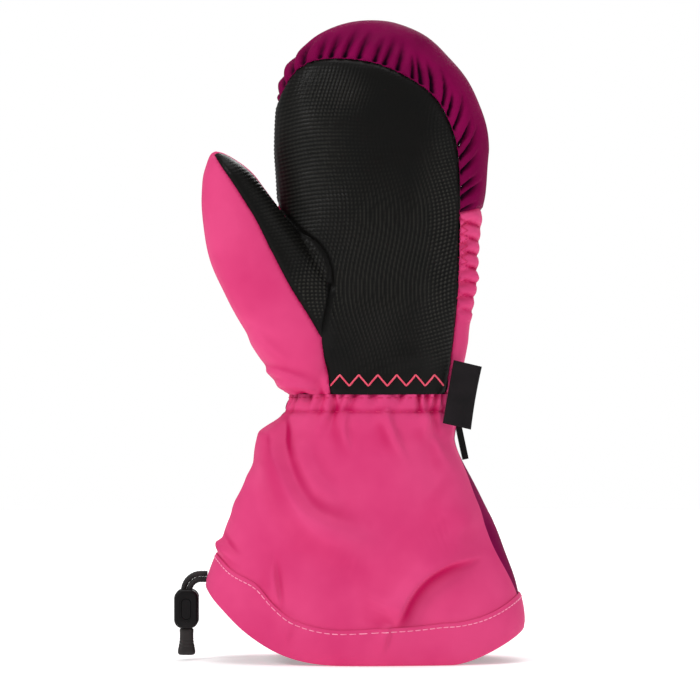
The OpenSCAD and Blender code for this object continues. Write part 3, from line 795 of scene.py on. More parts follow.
def tube(route, radius, sides=10, step=0.3, twist=0.0, ply=0, relief=0.0, up=(0, 1, 0)):
    """A closed tube along a route. Ply ridges wind round it, as in a twisted thread or a braid."""
    line, at = resampled(np.asarray(route, float), step)
    ahead = np.gradient(line, axis=0)
    ahead /= np.linalg.norm(ahead, axis=1)[:, None]
    side = np.cross(ahead, np.array(up, float))
    side /= np.maximum(np.linalg.norm(side, axis=1), 1e-6)[:, None]
    over = np.cross(side, ahead)
    turn = 2 * math.pi * np.arange(sides) / sides
    phase = turn[None, :] + twist * at[:, None]
    r = np.full(phase.shape, radius)
    if ply:
        r = radius * (1 + relief * (np.abs(np.cos(phase * ply / 2)) - 0.5))
    if ply and relief and twist and ply >= 6:
        other = turn[None, :] - twist * at[:, None]
        r = radius * (1 + relief * (np.abs(np.cos(phase * ply / 2) * np.cos(other * ply / 2)) - 0.4))
    sideways = np.cos(turn)[None, :, None] * side[:, None, :]
    upwards = np.sin(turn)[None, :, None] * over[:, None, :]
    rings = line[:, None, :] + r[..., None] * (sideways + upwards)
    count = len(line)
    faces = stack_faces(count, sides)[:, ::-1].tolist()
    faces.append(list(range(sides)))
    faces.append([(count - 1) * sides + i for i in range(sides)][::-1])
    return rings.reshape(-1, 3), faces


def joined(parts):
    """Several point and face lists as one."""
    points, faces, base = [], [], 0
    for p, f in parts:
        points.append(np.asarray(p))
        faces += [[i + base for i in face] for face in f]
        base += len(p)
    return np.concatenate(points), faces


for strand_name, off in (("drawcord_outer_strand", STRAND_OFF), ("drawcord_inner_strand", -STRAND_OFF)):
    route = strand_route(off)
    shape = tube(route, CORD_D / 2, sides=24, step=0.22, twist=0.55, ply=8, relief=0.14)
    strand = make_piece(strand_name + "_braid", *shape, cord_black, "drawcord_tail", sharp=None)
    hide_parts(strand_name)

# ---- Hand and thumb: one skin, cut along its seams into panels ----

HAND_GRAIN = 1.1
skin, skin_tris = one_skin([hand_form(0, 120), thumb_form(0, 90)], HAND_GRAIN)
skin = smoothed(skin, skin_tris, 5)

palm_arch = smooth_curve(
    [
        (35.6, 112), (37.4, 121), (40.2, 139), (42.4, 164), (43.4, 200), (42.6, 227.5), (39, 241.7),
        (31.8, 254.3), (20.6, 262.6), (7.1, 268.9), (-7, 271.6), (-20.8, 271.4), (-28.6, 268.7), (-34, 263.6),
        (-37.6, 257.4), (-39.8, 251), (-41.6, 243),
    ]
)
thumb_seam = smooth_curve(
    [
        CROTCH, (-37.5, 204), (-29.4, 194.2), (-21.6, 188.8), (-16.6, 181.8), (-14.7, 173.5), (-15.4, 164),
        (-17.4, 154), (-18.8, 145.4), (-17.2, 134), (-15.6, 122), (-15.2, 112),
    ]
)
thumb_edge = smooth_curve(
    [
        (-19, 145.8), (-25.1, 156.2), (-33.4, 169.4), (-41.5, 185),
        (-48.7, 199.4), (-57.4, 213.2), (-64.6, 224), (-70, 233),
    ]
)
PALM_WRAP_X, PALM_WRAP_Y = -42, 2
THUMB_MID_Y = -13.2

palm_outline = np.concatenate([palm_arch, [(PALM_WRAP_X, 243), (PALM_WRAP_X, CROTCH[1] + 4)], thumb_seam])
thumb_palm_outline = np.concatenate(
    [thumb_seam[thumb_seam[:, 1] > 146] + (3, 0), thumb_edge, [(-42.5, 233), (CROTCH[0] + 3, CROTCH[1] + 4)]]
)


def palm_field(p):
    return np.maximum(inside_distance(p[:, 0], p[:, 2], palm_outline), p[:, 1] - PALM_WRAP_Y)


def thumb_palm_field(p):
    return np.maximum(inside_distance(p[:, 0], p[:, 2], thumb_palm_outline), p[:, 1] - THUMB_MID_Y)


def thumb_side_field(p):
    x, y, z = p.T
    back_x = mix(-23.3, CROTCH[0] + 0.5, (z - WRIST_Z) / (CROTCH[1] - WRIST_Z))
    limit = mix(back_x, -8, ease((3 - y) / 8))
    return np.maximum(x - limit, np.minimum(z - CROTCH[1] - 1.5, x + 41.5))


def split_field(p):
    x, y, z = p.T
    return SPLIT_Z - z + 0.3 * ease(-y / 12) * (x - 48)


PALM, THUMB_PALM, THUMB_BACK, FINGERTIP, BACK = range(5)
labels = np.zeros(len(skin_tris), int)
for field in (lambda p: WAIST_Z - p[:, 2], palm_field, thumb_palm_field, thumb_side_field, split_field):
    skin, skin_tris, labels = cut(skin, skin_tris, labels, field(skin))
centres = skin[skin_tris].mean(1)
keep = centres[:, 2] > WAIST_Z
skin_tris, centres = skin_tris[keep], centres[keep]
labels = np.select(
    [
        palm_field(centres) < 0,
        thumb_palm_field(centres) < 0,
        thumb_side_field(centres) < 0,
        split_field(centres) < 0,
    ],
    [PALM, THUMB_PALM, THUMB_BACK, FINGERTIP],
    BACK,
)


# ---- Gathers, folds and soft hollows of the cloth ----

draw = np.random.default_rng(7)

WRIST_ROUND = 196
PLEATS = 40
pleat_at = (np.arange(PLEATS) + draw.uniform(-0.3, 0.3, PLEATS)) * WRIST_ROUND / PLEATS
pleat_depth = draw.uniform(0.5, 1.35, PLEATS)
pleat_width = draw.uniform(0.9, 1.7, PLEATS)
pleat_reach = draw.choice([5, 8, 12, 18, 28], PLEATS, p=[0.25, 0.25, 0.25, 0.15, 0.1])
pleat_lean = draw.uniform(-0.22, 0.22, PLEATS)


def ring_angle(x, y, left, right, half_d):
    """Angle round a closed section, from the palm side towards the thumb side."""
    u = (x - (left + right) / 2) / ((right - left) / 2)
    v = y / half_d
    return np.degrees(np.arctan2(-signed_pow(u, SECTION_N / 2), -signed_pow(v, SECTION_N / 2)))


def gathers(angle, away):
    """Depth of the small pleats at the wrist, away from the waist seam, in millimetres outwards."""
    place = (angle % 360) / 360 * WRIST_ROUND
    total = np.zeros(angle.shape)
    for at, depth, width, reach, lean in zip(pleat_at, pleat_depth, pleat_width, pleat_reach, pleat_lean):
        gap = place - at - lean * away
        gap = (gap + WRIST_ROUND / 2) % WRIST_ROUND - WRIST_ROUND / 2
        total = total - depth * bell(gap, width * (1 + away / 14)) * bell(away, reach)
    return total


def fold(x, z, points, height, gentle, steep, steep_end=None, ends=(0.15, 0.3)):
    """A fold along a line: it slopes gently up on the line's right and drops steeply on its left."""
    gap, side, along, _ = line_distance(x, z, smooth_curve(points))
    drop = mix(steep, steep if steep_end is None else steep_end, along)
    shape = np.where(side > 0, bell(gap, drop), bell(gap, gentle))
    return height * shape * ease(along / ends[0] + 0.001) * ease((1 - along) / ends[1] + 0.001)


def waves(x, y, z):
    """Slow, shallow unevenness of soft cloth over padding."""
    return (
        np.sin(x / 11 + 1.3 + 0.6 * np.sin(z / 17)) * np.sin(z / 14 + 0.5 + 0.4 * np.sin(y / 9))
        + 0.6 * np.sin(x / 6.1 - z / 8.3 + 2.1) * np.sin(y / 7 + z / 12)
    )


# Each fold: its line, height, gentle reach, steep reach, steep reach at its end, and how its ends fade
CUFF_FOLDS_PALM = [
    (
        [(-35.5, 111), (-37.5, 98), (-34.5, 84), (-29.5, 73), (-23.5, 65.5), (-14, 60), (0, 54), (16, 51)],
        4.3, 11, 1.3, 9, (0.1, 0.45),
    ),
    ([(-29, 104), (-27, 90), (-20, 78), (-8, 70)], 1.6, 6, 5, None, (0.3, 0.4)),
    (
        [(56, 49), (46, 47.5), (36.6, 45.5), (26.3, 39.5), (18, 29.3), (12, 15)],
        3.2, 13, 1.6, 2.4, (0.45, 0.2),
    ),
    ([(-41, 50), (-39.4, 38), (-37.8, 24)], 1.5, 5, 1.1, None, (0.5, 0.4)),
    ([(-68, 62), (-62, 52), (-54, 44)], 1.8, 4, 1.2, None, (0.2, 0.5)),
    ([(9, 115), (13, 102), (21, 87)], 1.4, 4, 2, None, (0.1, 0.7)),
    ([(-8, 114), (-9, 104), (-6, 92)], 1.2, 4, 1.8, None, (0.1, 0.7)),
    ([(27, 114), (31, 100), (42, 82)], 1.2, 5, 2.2, None, (0.1, 0.7)),
    ([(-50, 92), (-56, 76), (-60, 62)], 1.4, 7, 6, None, (0.3, 0.4)),
    ([(30, 78), (42, 66), (52, 58)], 1.6, 9, 8, None, (0.4, 0.4)),
    ([(12, 19), (9, 12), (7, 4)], 0.9, 3, 1.2, None, (0.3, 0.5)),
    ([(-30, 22), (-34, 14), (-36, 6)], 0.7, 4, 2, None, (0.3, 0.5)),
]
CUFF_FOLDS_BACK = [
    ([(30, 112), (33, 96), (28, 78), (16, 64), (0, 58), (-14, 57)], 3.0, 9, 1.6, 8, (0.15, 0.45)),
    ([(-52, 54), (-40, 50), (-28, 42), (-20, 30), (-16, 16)], 2.8, 12, 1.9, 2.6, (0.4, 0.2)),
    ([(44, 56), (40, 42), (37, 26)], 1.6, 6, 1.6, None, (0.4, 0.4)),
    ([(-6, 114), (-10, 100), (-20, 86)], 1.5, 5, 2, None, (0.1, 0.7)),
    ([(12, 114), (12, 102), (8, 90)], 1.2, 4, 2, None, (0.1, 0.7)),
    ([(-28, 112), (-36, 96), (-46, 84)], 1.4, 6, 3, None, (0.1, 0.6)),
    ([(58, 70), (52, 58), (50, 44)], 1.2, 7, 5, None, (0.4, 0.4)),
]


FOLD_STRENGTH = 1.9


def cuff_relief(x, y, z, angle):
    """How far the cuff's cloth stands out from its smooth form."""
    away = np.maximum(0, WAIST_Z - z)
    total = 2.2 * gathers(angle, away)
    total += 0.9 * bell(away - 3.6, 2.6) - 0.9 * bell(away - 7.8, 1.0)
    total += 1.1 * bell(away - 12, 6)
    palm, back = ease(-y / 7), ease(y / 7)
    for points, height, gentle, steep, steep_end, ends in CUFF_FOLDS_PALM:
        total += FOLD_STRENGTH * palm * fold(x, z, points, height, gentle, steep, steep_end, ends)
    for points, height, gentle, steep, steep_end, ends in CUFF_FOLDS_BACK:
        total += FOLD_STRENGTH * back * fold(x, z, points, height, gentle, steep, steep_end, ends)
    total += 0.45 * waves(x, y, z) * ease(away / 18)
    left = ease((-x - 30) / 20)
    total += left * (2.2 * bell(z - 63, 13) + 1.2 * bell(z - 117, 5))
    return total


def hem_height(x, y):
    """Height of the hem seam above the rim. It wanders a little."""
    front = ease(-y / 10)
    return 16 + front * (5 * bell(x + 53, 10) + 3 * bell(x - 40, 16)) + 0.5 * np.sin(x / 9)


def cuff_surface(angle, down, out):
    """Points of the cuff's cloth, a share of the way down to the rim and a distance out of it."""
    sx, sy = section_x(angle), section_y(angle)
    top = WAIST_Z - WRIST_Z
    drop = down * (WAIST_Z - rim(sx)) - top
    v = drop / (WRIST_Z - rim(sx))
    left, right, half_d = cuff_sides(v)
    rising = v < 0
    z_high = WRIST_Z - v * WRIST_Z
    left = np.where(rising, hand_left(z_high), left)
    right = np.where(rising, hand_right(z_high), right)
    x = (left + right) / 2 + (right - left) / 2 * sx
    y = half_d * sy
    z = WRIST_Z - drop
    nx = signed_pow(sx, SECTION_N - 1) / ((right - left) / 2)
    ny = signed_pow(sy, SECTION_N - 1) / half_d
    size = np.hypot(nx, ny)
    nx, ny = nx / size, ny / size
    push = cuff_relief(x, y, z, angle) + out
    return np.stack([x + nx * push, y + ny * push, z + 0 * x], -1)


# ---- Relief of the hand's panels ----


def seam_points(triangles, labels, wanted):
    """Vertices where a panel of the wanted kinds meets another panel."""
    marks = np.zeros((int(triangles.max()) + 1, 5), bool)
    for corner in range(3):
        marks[triangles[:, corner], labels] = True
    seam = marks.sum(1) > 1
    return np.nonzero(seam & marks[:, wanted].any(1))[0]


def distance_to(points, targets):
    tree = KDTree(len(targets))
    for i, p in enumerate(targets):
        tree.insert(p, i)
    tree.balance()
    return np.array([tree.find(p)[2] for p in points.tolist()])


skin_normals = normals_of(skin, skin_tris)
every_kind = [PALM, THUMB_PALM, THUMB_BACK, FINGERTIP, BACK]
any_seam = distance_to(skin, skin[seam_points(skin_tris, labels, every_kind)])
arch_targets = skin[seam_points(skin_tris, labels, [PALM])]
arch_targets = arch_targets[(arch_targets[:, 0] > 30) | (arch_targets[:, 2] > 256)]
arch_gap = distance_to(skin, arch_targets)

x, y, z = skin.T
_, _, arch_along, arch_length = line_distance(x, z, palm_arch)
arch_place = arch_along * arch_length
of_palm = palm_field(skin) < 0
of_thumb_palm = thumb_palm_field(skin) < 0
of_berry = (split_field(skin) < 0) & ~of_palm & (thumb_side_field(skin) > 0)

relief = -0.85 * bell(any_seam, 0.95) + 0.55 * (1 - np.exp(-any_seam / 4))
# The fingertip cloth is gathered onto the palm's edge: narrow creases that lean, with soft puffs between.
# Places run along the palm's edge from the lower right corner, over the top, to the thumb side.
CREASE_PITCH = 6.3
CREASES_BEGIN, CREASES_END = 42, 236
SIDE_END, TOP_BEGIN = 92, 160
DEEPEST_CREASE = 2.1
crease_start = np.arange(46, 238, CREASE_PITCH)
crease_start = crease_start + draw.uniform(-1.3, 1.3, len(crease_start))
crease_deep = draw.uniform(2.2, 3.6, len(crease_start))
long_at_side = draw.uniform(9, 15, len(crease_start))
long_at_top = draw.uniform(13, 19, len(crease_start))
crease_long = np.where(crease_start < TOP_BEGIN, long_at_side, long_at_top)
LEAN_AT = [46, 90, 112, 132, 152, 172, 192, 215, 240]
LEAN = [0.1, 0.5, 0.9, 1.0, 0.7, -0.1, -0.35, -0.5, -0.6]


def creases(gap, place):
    """Creases and puffs next to the palm's edge: gap is the distance from it, place the distance along it."""
    puffs = 1.3 * bell(gap - 7, 6)
    for start, deep, long in zip(crease_start, crease_deep, crease_long):
        if start < SIDE_END:
            deep, long = 0.8 * deep, 9
        off = place - start - np.interp(start, LEAN_AT, LEAN) * gap
        reach = ease(gap / 1.2) * (1 - ease((gap - 0.35 * long) / (0.65 * long)))
        shape = np.where(off > 0, bell(off, 0.8 + 0.05 * gap), bell(off, 1.7 + 0.12 * gap))
        puffs = puffs - deep * reach * shape
    ends = ease((place - CREASES_BEGIN) / 12) * ease((CREASES_END - place) / 14)
    return ends * ease((40 - gap) / 4) * np.maximum(puffs, -DEEPEST_CREASE)


outside_palm = ~of_palm & ~of_thumb_palm
strip = (x > 38) & outside_palm & ~of_berry
SCALLOP_PITCH, SCALLOP_DEPTH = 6.6, 2.3
scallops = np.sqrt(np.abs(np.sin(math.pi * (z - 146 + 0.35 * (x - 44)) / SCALLOP_PITCH))) - 0.62
scallop_fade = ease((z - 148) / 22) * ease((SPLIT_Z - z) / 2)
relief += np.where(strip, SCALLOP_DEPTH * scallops * bell(arch_gap - 9, 8) * scallop_fade, 0)
crease_relief = np.where(outside_palm, creases(arch_gap, arch_place), 0)
relief += np.where(of_palm, -0.35 * bell(arch_gap, 3), 0)
# Gathers above the waist seam, weaker on the stiff palm
wrist_angle = ring_angle(x, y, hand_left(z), hand_right(z), hand_half_d(z))
above = np.maximum(0, z - WAIST_Z)
relief += gathers(wrist_angle, above * 1.6) * np.where(of_palm, 0.25, 1.4)
relief += np.where(of_palm, 0, 0.8 * bell(above - 4, 3.5)) - 0.5 * bell(above, 1)
relief += waves(x, y, z) * np.where(of_palm | of_thumb_palm, 0.35, 0.55) * ease(any_seam / 8)

HAND_FOLDS_PALM = [
    ([(-46, 133), (-36, 130), (-24, 126)], 1.7, 4, 1.3, None, (0.2, 0.5)),
    ([(-40, 127), (-30, 125), (-20, 122.5)], 1.2, 3, 1.1, None, (0.2, 0.5)),
    ([(-52, 150), (-42, 140), (-34, 134)], 1.2, 6, 2.5, None, (0.3, 0.5)),
    ([(-66, 205), (-62, 180), (-52, 158)], 0.9, 7, 6, None, (0.3, 0.4)),
    ([(48, 150), (50, 140), (46, 130)], 1.0, 5, 2, None, (0.3, 0.5)),
    ([(46, 176), (50, 172), (55, 170)], 0.9, 3, 1.4, None, (0.2, 0.5)),
    ([(46, 158), (50, 155), (54, 152)], 0.8, 3, 1.5, None, (0.2, 0.5)),
    ([(10, 134), (22, 137), (36, 134)], 0.5, 7, 4, None, (0.3, 0.4)),
    ([(-10, 150), (4, 158), (20, 160)], 0.5, 9, 6, None, (0.4, 0.4)),
]
for points, height, gentle, steep, steep_end, ends in HAND_FOLDS_PALM:
    relief += ease(-y / 7) * fold(x, z, points, height, gentle, steep, steep_end, ends)

# Painted shade: how far each point lies below its blurred neighbours, painted darker in the cloth's hollows
# and creases.
folds = (evened(relief, skin_tris, 14) - relief) / 0.7
plain_skin, plain_normals = skin + relief[:, None] * skin_normals, skin_normals
skin = plain_skin + crease_relief[:, None] * skin_normals
skin_normals = normals_of(skin, skin_tris)
hand_tree = BVHTree.FromPolygons(skin.tolist(), skin_tris.tolist())


def patch(x, z, middle, size):
    """1 in the middle of an oval patch, fading to 0 at its edge."""
    return ease(1.25 - np.hypot((x - middle[0]) / size[0], (z - middle[1]) / size[1]))


def grip_relief(p):
    """Embossed grip: two sets of wavy ribs that cross, each strong where the other is weak."""
    x, z = p[:, 0], p[:, 2]
    rib = 1.75
    level = z - 0.14 * x + 2.6 * np.sin(x / 16 + 0.4) + 1.2 * np.sin(z / 21 + x / 23)
    across = x + 3.4 * np.sin(z / 12 + 0.4) + 2.2 * np.sin(z / 27 - x / 31)
    level_patches = patch(x, z, (-28, 226), (30, 56)) + patch(x, z, (37, 190), (9, 62))
    level_patches += patch(x, z, (-24, 164), (13, 15)) + patch(x, z, (32, 148), (10, 18))
    across_patches = patch(x, z, (6, 176), (30, 60)) + patch(x, z, (-12, 257), (18, 13))
    across_patches += patch(x, z, (-22, 168), (16, 18)) + patch(x, z, (34, 196), (13, 56))
    level_share = mix(0.08, 1, unit(level_patches))
    across_share = mix(0.15, 1, unit(across_patches))
    ribs_level = np.sin(2 * math.pi * level / rib)
    ribs_across = np.sin(2 * math.pi * across / rib)
    return level_share * ribs_level + across_share * ribs_across


PANELS = [
    (PALM, "palm_panel", grip_black, "grip"),
    (THUMB_PALM, "thumb_palm_panel", grip_black, "grip"),
    (THUMB_BACK, "thumb_back_panel", pink_cloth, "pink_cloth"),
    (FINGERTIP, "fingertip_panel", berry_cloth, "berry_cloth"),
    (BACK, "back_panel", pink_cloth, "pink_cloth"),
]
GRIP_DEPTH = 0.17


def stand_in(piece, slot, *hidden):
    """Shows a piece in place of CAD nodes, which it hides; slot is not used."""
    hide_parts(*hidden)
    return piece


def with_length_one(vectors):
    return vectors / np.linalg.norm(vectors, axis=1)[:, None]


for kind, node, material, slot in PANELS:
    used, local = np.unique(skin_tris[labels == kind], return_inverse=True)
    triangles = local.reshape(-1, 3)
    points, normals, marks = skin[used], skin_normals[used], folds[used]
    if kind in (PALM, THUMB_PALM):
        both, triangles = finer(np.concatenate([points, normals, any_seam[used, None]], 1), triangles)
        points, normals, edge_gap = both[:, :3], with_length_one(both[:, 3:6]), both[:, 6]
        fade = ease((edge_gap - 0.8) / 2) * ease((points[:, 2] - 127.5) / 3)
        ribs = grip_relief(points) * fade
        points = points + GRIP_DEPTH * ribs[:, None] * normals
        # Painted highlight: the grip paints its lighter colour where the ribs stand high.
        marks = 0.6 * (ribs - 0.35)
    elif kind == FINGERTIP:
        edge_places = [arch_gap[used, None], arch_place[used, None]]
        columns = [plain_skin[used], plain_normals[used], normals, *edge_places]
        both, triangles = finer(np.concatenate(columns, 1), triangles)
        relief_here = creases(both[:, 9], both[:, 10])
        points = both[:, :3] + relief_here[:, None] * with_length_one(both[:, 3:6])
        normals = with_length_one(both[:, 6:9])
        # Painted shade in the berry creases, from how far each point lies below its blurred neighbours.
        marks = (evened(relief_here, triangles, 24) - relief_here) / 0.9
    panel = thick_piece(node + "_cloth", points, triangles, normals, material)
    store_painted_light(panel, np.clip(marks, 0, 1))
    stand_in(panel, slot, node)

# ---- Cuff panels, hem and linings ----


def side_seam_angle(z):
    """Angle of the cuff's outer side seam, which bows to the palm side between its ends."""
    k = unit((z - 22) / 72)
    return 4 + 19 * np.sin(math.pi * k) ** 0.8


COLUMNS, ROWS = ((300, 130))
HEM_TUCK = 3.0


def blurred(values, reach):
    """Values averaged over a square of neighbours."""
    size = 2 * reach + 1
    for axis in (0, 1):
        before = np.repeat(values.take([0], axis), reach, axis)
        after = np.repeat(values.take([-1], axis), reach, axis)
        padded = np.concatenate([before, values, after], axis)
        totals = np.cumsum(padded, axis)
        totals = np.concatenate([np.zeros_like(totals.take([0], axis)), totals], axis)
        rows = values.shape[axis]
        values = (totals.take(range(size, size + rows), axis) - totals.take(range(rows), axis)) / size
    return values


def fold_shade(heights, points):
    """How much painted shade a point gets: how deep it lies between folds, and how steeply it turns away from
    the light.
    """
    reach = ROWS // 22
    hollow = (blurred(heights, reach) - heights) / 1.1
    down_step = np.gradient(points, axis=0)
    fall = -np.gradient(heights, axis=0) / np.linalg.norm(down_step, axis=2)
    across_step = np.gradient(points, axis=1)
    rise = np.gradient(heights, axis=1) / np.linalg.norm(across_step, axis=2)
    return 0.75 * hollow + 0.45 * np.maximum(0, fall) + 0.8 * np.maximum(0, rise * SIDE_SIGN) - 0.08


# Sign of the across-slope that turns away from the key light, for the painted fold shade.
SIDE_SIGN = -1
FOLD_SHADE = {True: 1.0, False: 0.5}


def cuff_panel(name, palm_side, material):
    across = np.linspace(0, 1, COLUMNS)[None, :]
    down = (np.linspace(0, 1, ROWS) ** 0.92)[:, None]
    z_guess = mix(WAIST_Z, RIM_RISE_OUTER, down)
    bow = side_seam_angle(z_guess)
    if palm_side:
        angle = mix(bow - 90, 90, across)
    else:
        angle = mix(90, 270 + bow, across)
    share = 1 - HEM_TUCK / (WAIST_Z - rim(section_x(angle)))
    outer = cuff_surface(angle, down * share, 0)
    inner = cuff_surface(angle, down * share, -SHELL_T)
    points = np.concatenate([outer.reshape(-1, 3), inner.reshape(-1, 3)])
    count = ROWS * COLUMNS
    front = stack_faces(ROWS, COLUMNS, closed=False)
    top = np.arange(COLUMNS)
    bottom = top + (ROWS - 1) * COLUMNS
    left = np.arange(ROWS) * COLUMNS
    right = left + COLUMNS - 1
    border = np.concatenate([top, right[1:], bottom[::-1][1:], left[::-1][1:]])
    rim_quads = np.stack([border[:-1], border[:-1] + count, border[1:] + count, border[1:]], 1)
    faces = front[:, ::-1].tolist() + (front + count).tolist() + rim_quads[:, ::-1].tolist()
    cuff = make_piece(name, points, faces, material)
    heights = cuff_relief(outer[..., 0], outer[..., 1], outer[..., 2], angle + 0 * down)
    # Painted shade: fold hollows and slopes turned from the key light are painted darker, half as strongly on
    # the back panel.
    store_painted_light(cuff, np.clip(FOLD_SHADE[palm_side] * fold_shade(heights, outer), 0, 1))
    return cuff


cuff_palm = cuff_panel("cuff_palm_panel_cloth", True, pink_cloth)
stand_in(cuff_palm, "pink_cloth", "cuff_palm_panel")
cuff_back = cuff_panel("cuff_back_panel_cloth", False, berry_cloth)
stand_in(cuff_back, "berry_cloth", "cuff_back_panel")


def above_rim(angle, height, out):
    """Points of the cuff's surface at a height above its rim."""
    down = 1 - height / (WAIST_Z - rim(section_x(angle)))
    return cuff_surface(angle, down, out)


def round_band(name, profile, material, count, body="mitten", sharp=55):
    """A closed loop of (height above the rim, out) points carried round the cuff."""
    angle = 360 * np.arange(count) / count
    base = above_rim(angle, 0 * angle, 0)
    rings = []
    for height, out in profile:
        level = height(base[:, 0], base[:, 1]) if callable(height) else height + 0 * angle
        rings.append(above_rim(angle, level, out))
    rings.append(rings[0])
    rows = len(profile)
    points = np.stack(rings[:rows], 1).reshape(-1, 3)
    i = np.arange(count)[:, None]
    j = np.arange(rows)[None, :]
    quads = np.stack(
        [
            i * rows + j,
            ((i + 1) % count) * rows + j,
            ((i + 1) % count) * rows + (j + 1) % rows,
            i * rows + (j + 1) % rows,
        ],
        -1,
    ).reshape(-1, 4)
    return make_piece(name, points, quads.tolist(), material, body, sharp)


def part_of_hem(share, add=0.0):
    return lambda x, y: share * hem_height(x, y) + add


HEM_OUT = 1.0
HEM_PLY = 0.8
CHANNEL_IN = -3.55
INNER_OUT = CHANNEL_IN - HEM_PLY
OUTER_IN = HEM_OUT - HEM_PLY
# Outer ply, from the seam down to the rim
hem_profile = [(part_of_hem(1, 0.1), 0.1), (part_of_hem(1, 0.25), 0.5), (part_of_hem(1, -0.1), 0.95)]
for share in (0.94, 0.88, 0.8, 0.7, 0.6, 0.5, 0.4, 0.3, 0.22):
    hem_profile.append((part_of_hem(share), HEM_OUT + 0.55 * math.sin(math.pi * share)))
for turn in (0, 30, 60, 90):
    turned_out = HEM_OUT - 1.2 + 1.2 * math.cos(math.radians(turn))
    hem_profile.append((2.2 - 2.2 * math.sin(math.radians(turn)), turned_out))
# Turned under at the rim, then up the inner ply
hem_profile += [(0, -1.6)]
for turn in (90, 45, 0):
    turned_in = 1.2 - 1.2 * math.cos(math.radians(turn))
    hem_profile.append((1.6 - 1.6 * math.sin(math.radians(turn)), INNER_OUT + turned_in))
hem_profile += [(part_of_hem(0.5), INNER_OUT), (part_of_hem(1), INNER_OUT)]
# The drawcord's channel between the plies
hem_profile += [(part_of_hem(1), CHANNEL_IN), (part_of_hem(0.5), CHANNEL_IN)]
hem_profile += [(1.6, CHANNEL_IN), (1.0, CHANNEL_IN + 1), (1.0, OUTER_IN - 0.6)]
hem_profile += [(2.0, OUTER_IN), (part_of_hem(0.5), OUTER_IN)]
hem = round_band("hem_band_cloth", hem_profile, pink_cloth, 620)
stand_in(hem, "pink_cloth", "hem_band")


LINING_T = 1.2
LINING_ABOVE_RIM = 4.5


def lining_depth(share):
    """Depth of the cuff lining's outer side, which comes closer to the shell below the wrist."""
    return mix(4.75, 1.65, unit(2 * share))


def lining_tube(rows, count):
    """The cuff's lining: a closed tube of cloth from the waist seam to just above the rim."""
    angle = (360 * np.arange(count) / count)[None, :]
    share = np.linspace(0, 1, rows)[:, None]
    whole = WAIST_Z - rim(section_x(angle))
    down = mix(0.0, (whole - LINING_ABOVE_RIM) / whole, share)
    outer = cuff_surface(angle, down, -lining_depth(share))
    inner = cuff_surface(angle, down, -(lining_depth(share) + LINING_T))[::-1]
    loop = np.concatenate([outer, inner])
    faces = stack_faces(len(loop) + 1, count)
    faces = np.where(faces >= len(loop) * count, faces - len(loop) * count, faces)
    return make_piece("cuff_lining_fleece", loop.reshape(-1, 3), faces[:, ::-1].tolist(), lining_fleece)


lining_sleeve = lining_tube(50, 160)
stand_in(lining_sleeve, "fleece", "cuff_lining")

HEM_CORD_H, HEM_CORD_OUT = 2.25, -1.675
cord_ring = []
for turn in np.linspace(2 * math.pi, 0, 12, endpoint=False):
    cord_ring.append((HEM_CORD_H + CORD_D / 2 * math.sin(turn), HEM_CORD_OUT + CORD_D / 2 * math.cos(turn)))
stand_in(round_band("hem_drawcord_cord", cord_ring, cord_black, 300), "cord", "hem_drawcord")
WRIST_REACH = WAIST_Z - 34
ELASTIC_STEPS = (-1.4, 2, 4, 7)
elastic_loop = [(WRIST_REACH - step, -1.3) for step in ELASTIC_STEPS]
elastic_loop += [(WRIST_REACH - step, -2.1) for step in ELASTIC_STEPS[::-1]]


def soft_layer(name, inset, thickness, grain, low_z, material):
    """One of the layers inside the hand and thumb, as a closed shell open at the wrist."""
    points, triangles = one_skin([hand_form(inset, 64), thumb_form(inset, 48)], grain)
    points = smoothed(points, triangles, 3)
    marks = np.zeros(len(triangles), int)
    points, triangles, marks = cut(points, triangles, marks, low_z - points[:, 2])
    triangles = triangles[points[triangles].mean(1)[:, 2] > low_z]
    return thick_piece(name, points, triangles, normals_of(points, triangles), material, thickness=thickness)


above_wrist = skin[skin_tris].mean(1)[:, 2] > WRIST_Z + 8
padding = thick_piece(
    "hand_and_thumb_padding", skin - 1.05 * skin_normals, skin_tris[above_wrist],
    skin_normals, wadding, thickness=2.2,
)
stand_in(padding, "wadding", "hand_padding", "thumb_padding")
insert = soft_layer("waterproof_insert_film", 4.2, 0.4, 2.6, WRIST_Z + 4, membrane)
stand_in(insert, "membrane", "waterproof_insert")
hand_fleece = soft_layer("hand_and_thumb_fleece", 4.75, LINING_T, 2.2, WRIST_Z, lining_fleece)
stand_in(hand_fleece, "fleece", "hand_lining", "thumb_lining")

# ---- Stitching ----


def on_hand(x, z, lift):
    """The hand's surface where it is seen at x and z from the palm side, lifted off along its normal."""
    place, normal, _, _ = hand_tree.ray_cast(Vector((x, -200, z)), Vector((0, 1, 0)))
    return place + normal * lift


def thread(route, radius):
    return tube(route, radius, sides=8, step=0.2, twist=3.2, ply=2, relief=0.16, up=(0.31, 0.92, 0.23))


def stitch_lift(t, radius):
    """Height of a stitch above the cloth: it comes out, lies on the cloth and goes back in."""
    return radius * (1.3 * np.sqrt(np.abs(np.sin(math.pi * t))) - 0.75)


def zigzag(points, radius, steps):
    """Thread over the hand's cloth, one stitch from each point to the next."""
    legs = []
    for (ax, az), (bx, bz) in zip(points[:-1], points[1:]):
        route = []
        for t in np.linspace(0, 1, steps):
            route.append(on_hand(mix(ax, bx, t), mix(az, bz, t), stitch_lift(t, radius)))
        legs.append(thread(np.array(route), radius))
    return joined(legs)


